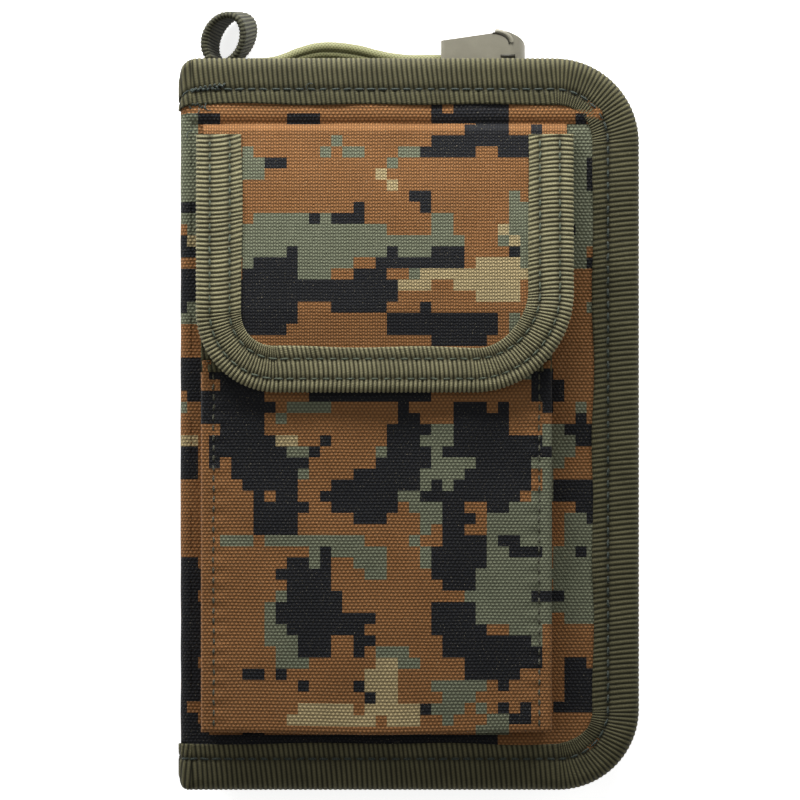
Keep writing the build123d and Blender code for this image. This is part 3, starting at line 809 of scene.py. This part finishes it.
def back_panel():
    """Back panel: camouflage cloth on its outside, lining inside, tape round three edges."""
    low, high = BACK_LOW, BACK_HIGH
    corners = [(high[0], high[1] - INNER_CORNER, 0), (high[0], high[1], INNER_CORNER),
               (low[0], high[1], INNER_CORNER), (low[0], low[1], INNER_CORNER),
               (high[0], low[1], INNER_CORNER), (high[0], low[1] + INNER_CORNER, 0)]
    taped_edge("back_tape", "back_binding", "root", panel_edge(corners, high[2], 0.2), high[2] - low[2],
               ("back_seam_inside", "back_seam_outside"), seed=31)
    soft_sheet("back_cloth_outside", "back_rear_cloth", BACK_CAMO, "root", up=False,
               sink=0.2, uneven=0.03, seed=32)
    soft_sheet("back_cloth_inside", "back_front_cloth", LINING, "root", sink=0.2, seed=33)


def tape_end():
    """Where the cover's tape starts at the left: its end is tacked down in zigzags, with loose threads."""
    left = CLOTH_LOW[0]
    sweep = np.linspace(0, 1, 15)
    side_to_side = 0.6 * (-1) ** np.arange(15)
    zigzag = stacked(left + 1.0 + 9.0 * sweep, CLOTH_HIGH[1] + 3.6 + side_to_side + 1.5 * sweep,
                     COVER_TOP + 0.12)
    tacks = stitches("tape_end_zigzag", round_plan(zigzag), UP, THREAD_DARK, pitch=1.25, share=0.95)
    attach(tacks, "cover")
    low_tack = zigzag - (0.5, 4.6, 0.25) + np.outer(np.sin(9 * sweep), (0, 0.8, 0))
    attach(stitches("tape_end_tack", low_tack[:8], UP, THREAD_DARK, pitch=1.3, share=0.95), "cover")
    draw = np.random.default_rng(17)
    for index, (x, y) in enumerate(((left + 3.0, CLOTH_HIGH[1] - 0.8), (left + 6.5, CLOTH_HIGH[1] - 1.5),
                                    (-26.5, CLOTH_HIGH[1] + 3.5), (left + 0.6, FLAP_HIGH[1] - 3.0))):
        turn = draw.uniform(0, 6.28)
        angle = turn + np.linspace(0, 2.6, 16) * draw.choice((-1, 1))
        walk = np.cumsum(stacked(np.cos(angle), np.sin(angle), 0.0) * 0.2, axis=0)
        curl = walk + (x, y, COVER_TOP + 0.3) + np.outer(np.sin(np.linspace(0, math.pi, 16)), (0, 0, 0.5))
        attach(tube(f"loose_thread_{index}", curl, 0.13, THREAD_DARK, sides=6), "cover")


# ---- Spines -------------------------------------------------------------------------------------
def bend(side, top, corner_x, corner_z, reach, drop, radius, step):
    """Path round a spine's corner in X and Z, from the panel to the spine, with outward normals."""
    corners = [(corner_x - side * reach, corner_z, 0), (corner_x, corner_z, radius),
               (corner_x, corner_z - top * drop, 0)]
    track, direction, length = rounded_path(corners, step)
    turn = side * top
    normal = turn * stacked(-direction[:, 1], 0.0, direction[:, 0])
    return track, normal, length, turn


def spine_half(name, side, top, corner, node, half_height, cloth, radius, reach):
    """Half of a spine's cloth and its two taped ends, bending from the panel to the spine."""
    low, high = box_mm(node)
    middle_height = (low[2] + high[2]) / 2
    drop = abs(corner[1] - middle_height)
    track, normal, length, turn = bend(side, top, *corner, reach, drop, radius, 0.5)
    ys = np.linspace(-half_height, half_height, int(2 * half_height / 0.8) + 1)[::turn]
    lift = 0.05 * waves(length[:, None], ys[None, :], 15.0, 41) - 0.3
    points = stacked(track[:, :1] + lift * normal[:, :1], ys, track[:, 1:] + lift * normal[:, 2:])
    mm = stacked(track[0, 0] + side * length[:, None], ys, np.ones(lift.shape))
    strip = shell(name + "_cloth", round_plan(points), mm, 1.1, cloth)
    strip.data.materials.append(LINING)
    outside = (len(track) - 1) * (len(ys) - 1)
    for face in strip.data.polygons[outside:2 * outside]:
        face.material_index = 1
    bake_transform(strip)
    pieces = [strip]
    track, normal, length, _ = bend(side, top, *corner, reach, drop, radius, TAPE_STEP)
    for end_name, sign in (("top", 1), ("bottom", -1)):
        places = stacked(track[:, 0], sign * (half_height + TAPE_WIDTH), track[:, 1])
        outward = np.tile((0.0, float(sign), 0.0), (len(track), 1))
        edge = places, outward, normal, length
        tape = ribbed_tape(f"{name}_tape_{end_name}", edge, TAPE_WIDTH, 1.6, (SEAM_INSET,), TAPE_CLOTH,
                           warp=round_plan, seed=42)
        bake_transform(tape)
        line = inset_line(edge, SEAM_INSET, -SEAM_SINK, round_plan)
        seam = stitches(f"{name}_seam_{end_name}", line, normal, THREAD_DARK)
        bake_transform(seam)
        pieces.append(tape)
    return pieces


def spines():
    """Both spines, each in an upper and a lower half; the half that stands for the CAD nodes comes first."""
    low, high = box_mm("right_spine_cloth")
    left_top, left_bottom = (SPINE_LOW[0], SPINE_HIGH[2]), (SPINE_LOW[0], SPINE_LOW[2])
    right_top, right_bottom = (high[0], high[2]), (high[0], low[2])
    for spine, side, half_height, cloth, halves in (
            ("left_spine", -1, CLOTH_HIGH[1], COVER_CAMO,
             (("upper", 1, left_top, "cover", 2.4, 3.2), ("lower", -1, left_bottom, "middle", 1.6, 2.6))),
            ("right_spine", 1, high[1], BACK_CAMO,
             (("lower", -1, right_bottom, "root", 1.8, 2.8), ("upper", 1, right_top, "middle", 1.6, 2.6)))):
        standing, _ = [spine_half(f"{spine}_{half}", side, top, corner, spine + "_cloth", half_height,
                                  cloth, radius, reach)
                       for half, top, corner, panel, radius, reach in halves]
        for piece, part in zip(standing, ("_cloth", "_binding_top", "_binding_bottom")):
            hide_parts(spine + part)


# ---- Phone pocket and flap ----------------------------------------------------------------------
POCKET_SEAM = 3.3           # the pocket's side seams lie this far in from its folded edges
MOUTH_SEAMS = (2.5, 9.0)
FLAP_SEAMS = (3.4, 8.6)
FLAP_CORNER_LEFT = 21.0
FLAP_CORNER_RIGHT = 26.0
FLAP_LINING_LOW, FLAP_LINING_HIGH = box_mm("flap_lining")
FLAP_THICK = 1.6
FLAP_TAPE_THICK = FLAP_THICK + 0.35
FLAP_SEAM_Z = FLAP_LINING_LOW[2]                          # inner face of the flap at its seam
FLAP_LEVEL_Z = FLAP_HIGH[2] - FLAP_THICK                  # and where it lies on the pocket
FLAP_CREST = 30.0
FLAP_TOP = FLAP_HIGH[1]


def pocket_swell(x, y):
    """How the pocket's front bulges between its seams, and is pulled in along them."""
    side = np.minimum(x - POCKET_LOW[0], POCKET_HIGH[0] - x)
    bottom = y - POCKET_LOW[1]
    seam = groove(side - POCKET_SEAM, 0.55)
    fold = 0.22 * groove(side - 0.7, 0.8)
    tug = 0.10 * np.sin(2 * math.pi * y / 4.6 + 1.5 * np.sin(y / 9)) * groove(side - POCKET_SEAM - 1.2, 2.0)
    sag = 0.5 * ease(side, POCKET_SEAM, 22) * ease(bottom, 0, 30)
    return sag + 0.16 * waves(x, y, 26, 61) + fold + tug - 0.45 * seam


def pocket():
    """Phone pocket: printed front with side seams, pleated walls and a taped mouth."""
    x, y = lattice(POCKET_LOW[0], POCKET_HIGH[0], POCKET_LOW[1], MOUTH_LOW[1] + 3, 0.5)
    roll = cloth_lift(x, y, POCKET_LOW, POCKET_HIGH + (0, 30, 0), 0, 0.9)
    points = stacked(x, y, POCKET_HIGH[2] + roll + pocket_swell(x, y))
    bow = 1.2 * np.sin(math.pi * np.clip((x - POCKET_LOW[0]) / (POCKET_HIGH[0] - POCKET_LOW[0]), 0, 1)) ** 2
    points[..., 1] -= bow * ease(-y, -POCKET_LOW[1] - 22, -POCKET_LOW[1]) * 0.6
    mm = stacked(x, y, 1.0)
    front = shell("pocket_front_cloth", points, mm, 0.9, POCKET_CAMO)
    stand_in(front, "cover", "pocket_front")
    for name, at in (("left", POCKET_LOW[0] + POCKET_SEAM), ("right", POCKET_HIGH[0] - POCKET_SEAM)):
        down = np.arange(MOUTH_LOW[1], POCKET_LOW[1] + 0.5, -0.5)
        line = stacked(at + 0.12 * waves(down, 0 * down, 12, 62), down,
                       POCKET_HIGH[2] + pocket_swell(at, down) + 0.1)
        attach(stitches("pocket_seam_" + name, line, UP, THREAD_OLIVE, pitch=2.6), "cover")

    walls = box_edge(POCKET_LOW, (POCKET_HIGH[0], MOUTH_HIGH[1]), POCKET_LOW[2], 2.5, step=0.7)
    places, outward, _, length = walls
    down = np.linspace(0, 1, 13)[::-1]
    fold_in = 0.35 + 1.5 * np.sin(math.pi * down)
    deep = POCKET_LOW[2] + 0.3 - COVER_TOP + 0.4
    points = places[:, None, :] - fold_in[None, :, None] * outward[:, None, :]
    points = points - (deep * down - 0.3)[None, :, None] * UP
    points[..., 2] += 0.12 * waves(length[:, None], down[None, :] * 9, 14, 63)
    mm = stacked(length[:, None], deep * down, 1.0)
    pleat = shell("pocket_pleat", points, mm, 0.5, POCKET_CAMO)
    stand_in(pleat, "cover", "pocket_gusset_left", "pocket_gusset_right", "pocket_gusset_bottom")

    width = MOUTH_HIGH[1] - MOUTH_LOW[1]
    ends = [(MOUTH_HIGH[0], MOUTH_HIGH[1], 0), (MOUTH_LOW[0], MOUTH_HIGH[1], 0)]
    mouth = panel_edge(ends, MOUTH_HIGH[2], TAPE_STEP)
    tape = ribbed_tape("pocket_mouth_tape", mouth, width, 1.2, MOUTH_SEAMS, TAPE_CLOTH, seed=64)
    stand_in(tape, "cover", "pocket_mouth_binding")
    for inset in MOUTH_SEAMS:
        line = inset_line(mouth, inset, -SEAM_SINK)
        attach(stitches(f"pocket_mouth_seam_{inset:.0f}", line, UP, THREAD_DARK), "cover")
    soft_sheet("pocket_loop_cloth", "pocket_loop_patch", LOOP_CLOTH, "cover", hem=1.5, step=0.5,
               seed=65)
    hem_stitches("pocket_loop_stitches", "pocket_loop_patch", 1.5, "cover", closed_top=True)


def flap_rise(y):
    """Height of the flap's inner face: low at its seam, climbing to lie level on the pocket."""
    share = np.clip((FLAP_TOP - y) / (FLAP_TOP - FLAP_CREST), -0.2, 1)
    smooth = np.where(share < 0, 0, share + 0.09 * np.sin(math.pi * share))
    over = ease(y, FLAP_TOP - 0.7, FLAP_TOP + 1.2)
    height = FLAP_SEAM_Z + (FLAP_LEVEL_Z - FLAP_SEAM_Z) * smooth
    return height * (1 - over) + (COVER_TOP - FLAP_THICK - 0.5) * over


def lay_flap(points):
    """Lift points made about a level flap, with its inner face at height 0, to where it lies."""
    points = points.copy()
    x, y = points[..., 0], points[..., 1]
    sides = np.minimum(x - FLAP_LOW[0], FLAP_HIGH[0] - x)
    puff = 0.35 * ease(sides, 8, 30) * ease(y, FLAP_LOW[1] + 8, 30) * ease(-y, -FLAP_TOP + 2, -60)
    points[..., 2] += flap_rise(y) + puff + 0.12 * waves(x, y, 30, 71)
    return points


def flap():
    """Flap over the pocket's mouth: printed outside, lining inside, twice-stitched tape round its edge."""
    low, high = FLAP_LOW[:2], FLAP_HIGH[:2]
    corners = [(low[0], high[1] - 1.8, 0), (low[0], low[1], FLAP_CORNER_LEFT),
               (high[0], low[1], FLAP_CORNER_RIGHT), (high[0], high[1] - 1.8, 0)]
    edge = panel_edge(corners, FLAP_TAPE_THICK, TAPE_STEP)
    tape = ribbed_tape("flap_tape", edge, FLAP_TAPE, FLAP_TAPE_THICK, FLAP_SEAMS, FLAP_TAPE_CLOTH,
                       warp=lay_flap, seed=72, rib=0.26, pitch=1.17, slant=0.1, arch=0.6)
    stand_in(tape, "flap", "flap_binding")
    for inset in FLAP_SEAMS:
        for side, lift, facing in (("outside", -0.12, UP), ("inside", 0.12 - FLAP_TAPE_THICK, -UP)):
            line = inset_line(edge, inset, lift, lay_flap, 1.0)
            name = f"flap_seam_{inset:.0f}_{side}"
            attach(stitches(name, line, facing, THREAD_GREEN, radius=0.25), "flap")

    x, y = lattice(low[0] + 1.6, high[0] - 1.6, low[1] + 4, high[1] + 1.6, 0.5)
    under_tape = 2.5            # the cloth's corners are this far inside the tape's edge
    from_side = np.minimum(x - low[0], high[0] - x)
    corner = np.where(x < 0, FLAP_CORNER_LEFT, FLAP_CORNER_RIGHT) - under_tape
    across = np.clip(corner + under_tape - from_side, 0, corner)
    y = np.maximum(y, low[1] + under_tape + corner - np.sqrt(np.maximum(corner ** 2 - across ** 2, 0)))
    points = lay_flap(stacked(x, y, FLAP_THICK - 0.1))
    mm = stacked(x, y, 1.0)
    outside = shell("flap_cloth_outside", points, mm, 0.7, FLAP_CAMO)
    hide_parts("flap_cloth")
    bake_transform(outside)

    below = y <= FLAP_TOP - 0.5
    rows = int(below[0].sum())
    inner = lay_flap(stacked(x[:, :rows], y[:, :rows], 0.1))[::-1]
    lining = shell("flap_cloth_inside", inner, mm[::-1, :rows], 0.6, LINING)
    stand_in(lining, "flap", "flap_lining")
    soft_sheet("flap_hook_cloth", "flap_hook_patch", HOOK_CLOTH, "flap", up=False, hem=1.5,
               step=0.5, seed=74)
    hem_stitches("flap_hook_stitches", "flap_hook_patch", 1.5, "flap", up=False, closed_top=True)


# ---- Inside -------------------------------------------------------------------------------------
BOARD_TRIM = 0.4            # boards are cut this much short of the folded tape round them


def inside():
    """Slip pockets, card slots, window, zipped pocket and closing strips."""
    def sewn(node, body, up, material=LINING, hem=1.6, closed_top=False, stitched=True,
             uneven=0.03):
        soft_sheet(node + "_cloth", node, material, body, up=up, hem=hem, uneven=uneven,
                   seed=len(node) + 80)
        if stitched:
            hem_stitches(node + "_stitches", node, hem, body, up=up, closed_top=closed_top)

    sewn("back_slip_pocket", "root", True)
    sewn("cover_slip_pocket", "cover", False)
    for stack in ("lower", "upper"):
        for tier in range(1, 4):
            sewn(f"card_slot_{stack}_{tier}", "middle", True, stitched=tier == 3)
    sewn("zip_pocket_front", "middle", False)
    sewn("zip_pocket_header", "middle", False, closed_top=True)
    for part in ("upper", "lower"):
        sewn("zip_tape_" + part, "middle", False, ZIP_CLOTH, hem=0, stitched=False)
    sewn("closure_loop_strip", "middle", True, LOOP_CLOTH, 1.2, closed_top=True)
    sewn("closure_hook_strip", "cover", False, HOOK_CLOTH, 1.2, closed_top=True)
    window_frame()
    for node in ("back_board", "middle_board", "cover_board"):
        carry_over(node, BOARD)
        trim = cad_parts[node].modifiers.new("trimmed", "DISPLACE")
        trim.strength = -BOARD_TRIM * MM
        trim.mid_level = 0
    for node, material in (("card_window_film", FILM), ("zip_teeth_upper", TEETH),
                           ("zip_teeth_lower", TEETH), ("zip_end_stop", ZIP_METAL),
                           ("zip_slider", ZIP_METAL), ("zip_pull_tab", ZIP_METAL)):
        carry_over(node, material, 0.15 if material is ZIP_METAL else 0.0)


def carry_over(node, material, bevel=0.0):
    """Show a CAD node with its own material, and its sharp edges worn round."""
    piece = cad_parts[node]
    piece.data.materials.clear()
    piece.data.materials.append(material)
    if bevel:
        rounding = piece.modifiers.new("worn_edges", "BEVEL")
        rounding.width = bevel * MM
        rounding.segments = 2
        rounding.limit_method = "ANGLE"


def window_frame():
    """Lining round the clear card window: four strips with a folded edge and stitches."""
    low, high = box_mm("card_window_frame")
    pane_low, pane_high = box_mm("card_window_film")
    pane_low, pane_high = pane_low + 2.0, pane_high - 2.0
    x, y = lattice(low[0], high[0], low[1], high[1], 0.6)
    wide = (pane_high[0] - pane_low[0]) / 2
    tall = (pane_high[1] - pane_low[1]) / 2
    centre = (pane_low + pane_high) / 2
    from_pane = np.maximum(np.abs(x - centre[0]) - wide, np.abs(y - centre[1]) - tall)
    lift = cloth_lift(x, y, low, high, 1.6, 0.4) - 0.12 * groove(from_pane - 1.6, 0.6)
    frame_only = (from_pane > 0).ravel()
    top = stacked(x, y, high[2] + lift).reshape(-1, 3)
    bottom = stacked(x, y, low[2] + 0.05).reshape(-1, 3)
    faces = []
    for quad in grid_faces(*x.shape):
        if frame_only[quad].all():
            faces.append(quad)
            faces.append([corner + x.size for corner in reversed(quad)])
    both = np.concatenate([top, bottom])
    mm = np.concatenate([stacked(x, y, 1.0).reshape(-1, 3)] * 2)
    piece = finish_piece("card_window_cloth", both, faces, mm, LINING)
    stand_in(piece, "root", "card_window_frame")
    hem_stitches("card_window_stitches", "card_window_frame", 1.6, "root", closed_top=True)


# ---- Lanyard loop -------------------------------------------------------------------------------
LOOP_REACH = (4.8, 6.2)     # half the loop's width and height, to the middle of its tape
LOOP_LEAN = 0.24
LOOP_THICK = 0.75           # half the doubled tape's thickness
LOOP_DRAW = 2.1             # how far the loop's lower and upper edges are drawn apart sideways


def lanyard_loop():
    """Ribbed tape standing on edge in a leaning loop, its lower edge drawn to the right."""
    low, high = box_mm("lanyard_loop")
    reach_x, reach_y = LOOP_REACH
    centre_x = (low[0] + high[0]) / 2 + 0.1
    centre_y = high[1] - reach_y - 0.5
    foot_y = BACK_HIGH[1] - 1.5
    angle = np.linspace(math.radians(236), math.radians(-56), 150)
    ring = stacked(centre_x + reach_x * np.cos(angle) + LOOP_LEAN * reach_y * np.sin(angle),
                   centre_y + reach_y * np.sin(angle))
    left_foot = np.linspace((ring[0, 0] + 0.6, foot_y), ring[0], 14)[:-1]
    right_foot = np.linspace(ring[-1], (ring[-1, 0] - 1.2, foot_y), 14)[1:]
    path, direction, length = even_walk(np.concatenate([left_foot, ring, right_foot]), 0.14)
    half_width = (high[2] - low[2]) / 2 - 0.15
    shares = np.concatenate([np.linspace(-1, 1, 19), np.linspace(1, -1, 19)])
    sides = np.concatenate([np.ones(19), -np.ones(19)])
    round_edge = np.sqrt(np.clip(1 - ((np.abs(shares) - 0.9) / 0.1).clip(0, 1) ** 2, 0.02, 1))
    part = length[:, None] / length[-1]
    ribs = 0.5 + 0.5 * np.cos(2 * math.pi * (length[:, None] + 0.1 * shares) / 0.95)
    out = sides * (LOOP_THICK * round_edge + 0.22 * ribs)
    drawn = LOOP_DRAW * shares * (1 - 0.25 * np.sin(math.pi * part))
    turned = 0.9 * shares * np.sin(2 * math.pi * part)
    points = stacked(path[:, :1] - out * direction[:, 1:] - drawn,
                     path[:, 1:] + out * direction[:, :1] + turned,
                     (low[2] + high[2]) / 2 + half_width * shares)
    mm = stacked(length[:, None], half_width * shares, ribs)
    piece = finish_piece("lanyard_tape", points.reshape(-1, 3), round_faces(*out.shape), mm.reshape(-1, 3),
                         WEBBING)
    stand_in(piece, "root", "lanyard_loop")


# ---- Leash cord and snap hook -------------------------------------------------------------------
CORD_ROUTE = [(-41.5, 94.6), (-37.0, 94.6), (-33.0, 95.6), (-28.5, 97.6), (-22.5, 99.1), (-14.0, 98.3),
              (-7.0, 96.3), (-0.5, 95.4), (4.0, 95.5), (8.4, 95.5)]
CORD_SIZE = 2.8
CORD_HEIGHT = 1.7
STRAND_GAP = 1.9            # the cord is doubled: its strands lie this far apart
PLAIT_HEIGHT = 0.08
YARNS = 8                   # yarns each way round the cord
LAY = 7.0                   # length in which a yarn goes once round it


def leash_cord():
    """Doubled braided cord along its route: two tubes whose surface is the plaits of the braid."""
    curve = bpy.data.curves.new("cord_line", "CURVE")
    curve.dimensions = "3D"
    curve.resolution_u = 16
    spline = curve.splines.new("NURBS")
    spline.points.add(len(CORD_ROUTE) - 1)
    for point, (x, y) in zip(spline.points, CORD_ROUTE):
        point.co = (x * MM, y * MM, CORD_HEIGHT * MM, 1)
    spline.order_u = 3
    spline.use_endpoint_u = True
    line = bpy.data.objects.new("cord_line", curve)
    bpy.context.scene.collection.objects.link(line)
    bpy.context.view_layer.update()
    followed = bpy.data.meshes.new_from_object(line.evaluated_get(bpy.context.evaluated_depsgraph_get()))
    track = np.array([vertex.co for vertex in followed.vertices]) / MM
    bpy.data.objects.remove(line)
    centre, direction, length = even_walk(track, 0.11)
    side = np.cross(UP, direction)
    around = np.linspace(0, 2 * math.pi, 49)[:-1]
    run = 2 * math.pi * length[:, None] / LAY
    right_hand = 0.5 + 0.5 * np.cos(YARNS * (around + run))
    left_hand = 0.5 + 0.5 * np.cos(YARNS * (around - run))
    plait = np.maximum(right_hand, left_hand) ** 1.5
    radius = CORD_SIZE / 2 - PLAIT_HEIGHT * (1 - plait)
    points = (centre[:, None, :] + (radius * np.cos(around))[..., None] * side[:, None, :]
              + (radius * np.sin(around))[..., None] * UP)
    apart = STRAND_GAP * (0.3 + 0.7 * np.sin(math.pi * length / length[-1]))
    second = points + np.outer(apart, (0, -1, -0.25))[:, None, :]
    faces = round_faces(*radius.shape, flip=True) + round_faces(*radius.shape, radius.size, flip=True)
    mm = stacked(length[:, None], around * CORD_SIZE / 2, plait).reshape(-1, 3)
    both = np.concatenate([points, second]).reshape(-1, 3)
    piece = finish_piece("leash_braid", both, faces, np.concatenate([mm, mm]), CORD_CLOTH)
    stand_in(piece, "root", "leash_cord")
    return piece, centre * MM, length[-1] * MM


HOOK_LOW, HOOK_HIGH = box_mm("hook_body")
HOOK_SHOULDER = HOOK_LOW[0] + 13.6      # where the raised rim starts
HOOK_PEAK = HOOK_LOW[0] + 17.2          # highest point of the hook's sloping back
HOOK_BACK = 100.4                       # back face at the tail
HOOK_SLOPE = 0.144
HOOK_WAIST = 2.3                        # how far the tail's front is drawn in
RIM_REACH = (4.4, 2.9)                  # how far the rim runs along and across the hook
MOUTH = (HOOK_LOW[0] + 15.6, HOOK_LOW[0] + 19.4)


def hook_side(x):
    """Front and back limits of the moulded hook in plan: a waisted tail, a sloping back and a cut nose."""
    tail = HOOK_LOW[1] + HOOK_WAIST * (1 - ease(x, HOOK_LOW[0], HOOK_LOW[0] + 2.6))
    slope = HOOK_BACK + HOOK_SLOPE * (np.minimum(x, HOOK_PEAK) - HOOK_LOW[0])
    nose = np.clip((x - HOOK_PEAK) / (HOOK_HIGH[0] - HOOK_PEAK), 0, 1)
    back = slope - 2.0 * nose - 2.0 * (1 - np.sqrt(1 - nose ** 4))
    return tail, back


def shaped_copy(name, node, material, bevel):
    """Moulded piece made from a CAD solid: cut into slices along X, then drawn in to the hook's plan."""
    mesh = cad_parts[node].data.copy()
    cutter = bmesh.new()
    cutter.from_mesh(mesh)
    for x in np.arange(HOOK_LOW[0] + 0.6, HOOK_HIGH[0], 0.6):
        parts = cutter.verts[:] + cutter.edges[:] + cutter.faces[:]
        bmesh.ops.bisect_plane(cutter, geom=parts, plane_co=(x * MM, 0, 0), plane_no=(1, 0, 0))
    for vertex in cutter.verts:
        x, y = vertex.co.x / MM, vertex.co.y / MM
        front, back = hook_side(x)
        share = (y - HOOK_LOW[1]) / (HOOK_HIGH[1] - HOOK_LOW[1])
        vertex.co.y = (front + share * (back - front)) * MM
    cutter.to_mesh(mesh)
    cutter.free()
    mesh.materials.clear()
    mesh.materials.append(material)
    piece = bpy.data.objects.new(name, mesh)
    bpy.context.scene.collection.objects.link(piece)
    rounding = piece.modifiers.new("moulded_edges", "BEVEL")
    rounding.width = bevel * MM
    rounding.segments = 3
    rounding.limit_method = "ANGLE"
    rounding.angle_limit = math.radians(40)
    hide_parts(node)
    return piece


def hook():
    """Snap hook: moulded body with a rim, dark tubes of painted shade along the rim's groove and in its
    mouth, its sprung gate and the gate's pin.
    """
    body = shaped_copy("hook_shell", "hook_body", PLASTIC, 0.5)
    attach(body, "root")
    turn = np.linspace(0, math.pi / 2, 40)
    _, back = hook_side(HOOK_SHOULDER)
    bow = stacked(HOOK_SHOULDER + RIM_REACH[0] * np.sin(turn),
                  back + 0.1 - RIM_REACH[1] * (1 - np.cos(turn)), HOOK_HIGH[2])
    rim = tube("hook_rim", bow + (0.5, 0.35, -0.36), 0.62, PLASTIC)
    # Dark tubes of painted shade: one along the groove beside the rim, one in the hook's mouth.
    seam = tube("hook_groove_shade", bow + (-0.1, -0.1, -0.12), 0.26, PAINTED_SHADE_PLASTIC)
    mouth_line = stacked(np.linspace(*MOUTH, 3), HOOK_BACK - 4.1, HOOK_HIGH[2] - 0.35)
    mouth = tube("hook_mouth_shade", mouth_line, 0.55, PAINTED_SHADE_PLASTIC)
    for piece in (rim, seam, mouth):
        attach(piece, "root")
    carry_over("hook_gate", PLASTIC, 0.3)
    pin_low, pin_high = box_mm("hook_gate_pin")
    pin_at = (pin_low + pin_high) / 2
    front, back = hook_side(pin_at[0])
    pin_line = stacked(pin_at[0], np.linspace(front - 0.1, back + 0.1, 3), pin_at[2])
    pin = tube("hook_pin", pin_line, (pin_high[0] - pin_low[0]) / 2, STEEL, sides=24)
    stand_in(pin, "root", "hook_gate_pin")
    return [body, rim, seam, mouth, pin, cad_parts["hook_gate"]]


# ---- Stage --------------------------------------------------------------------------------------
def area_light(name, place, aim, size, power):
    """Soft rectangular light, in metres."""
    light = bpy.data.lights.new(name, "AREA")
    light.shape = "RECTANGLE"
    light.size, light.size_y = size
    light.energy = power
    lamp = bpy.data.objects.new(name, light)
    lamp.location = place
    lamp.rotation_euler = (Vector(aim) - Vector(place)).to_track_quat("-Z", "Y").to_euler()
    bpy.context.scene.collection.objects.link(lamp)


VIEW_WIDTH = 208.9          # what the camera sees at the height of the cover's face
VIEW_CENTRE = (-2.35, 6.27)


def stage():
    """White floor, soft light from beyond the top edge, and the camera straight above."""
    floor_mesh = bpy.data.meshes.new("floor")
    half = 1.6
    floor_mesh.from_pydata([(-half, -half, 0), (half, -half, 0), (half, half, 0), (-half, half, 0)], [],
                           [(0, 1, 2, 3)])
    floor = bpy.data.objects.new("floor", floor_mesh)
    floor.location.z = -0.05 * MM
    bpy.context.scene.collection.objects.link(floor)
    paper = Nodes("paper", 0.9, specular=0.1)
    paper.shader.inputs["Base Color"].default_value = (0.93, 0.93, 0.93, 1)
    paper.shader.inputs["Emission Color"].default_value = (1, 1, 1, 1)
    paper.shader.inputs["Emission Strength"].default_value = 0.8
    floor_mesh.materials.append(paper.material)

    area_light("key", (-0.05, 0.46, 0.15), (0, 0.03, 0), (0.55, 0.12), 4.2)
    area_light("fill_left", (-0.6, 0.1, 0.5), (0, 0, 0), (0.5, 0.5), 0.9)
    area_light("fill_right", (0.6, 0.1, 0.5), (0, 0, 0), (0.5, 0.5), 0.7)
    world = bpy.data.worlds.new("room")
    world.use_nodes = True
    world.node_tree.nodes["Background"].inputs["Color"].default_value = (1, 1, 1, 1)
    world.node_tree.nodes["Background"].inputs["Strength"].default_value = 0.16
    bpy.context.scene.world = world
    bpy.context.scene.view_settings.view_transform = "Standard"

    camera_data = bpy.data.cameras.new("camera")
    camera_data.lens = 700
    camera_data.sensor_width = 36
    camera = bpy.data.objects.new("camera", camera_data)
    distance = VIEW_WIDTH * camera_data.lens / camera_data.sensor_width
    camera.location = (VIEW_CENTRE[0] * MM, VIEW_CENTRE[1] * MM, (COVER_TOP + 2.3 + distance) * MM)
    bpy.context.scene.collection.objects.link(camera)
    bpy.context.scene.camera = camera


stage()
cord_piece, cord_line, cord_length = leash_cord()
hook_pieces = hook()
lanyard_loop()
cover()
tape_end()
middle_panel()
back_panel()
spines()
pocket()
flap()
inside()
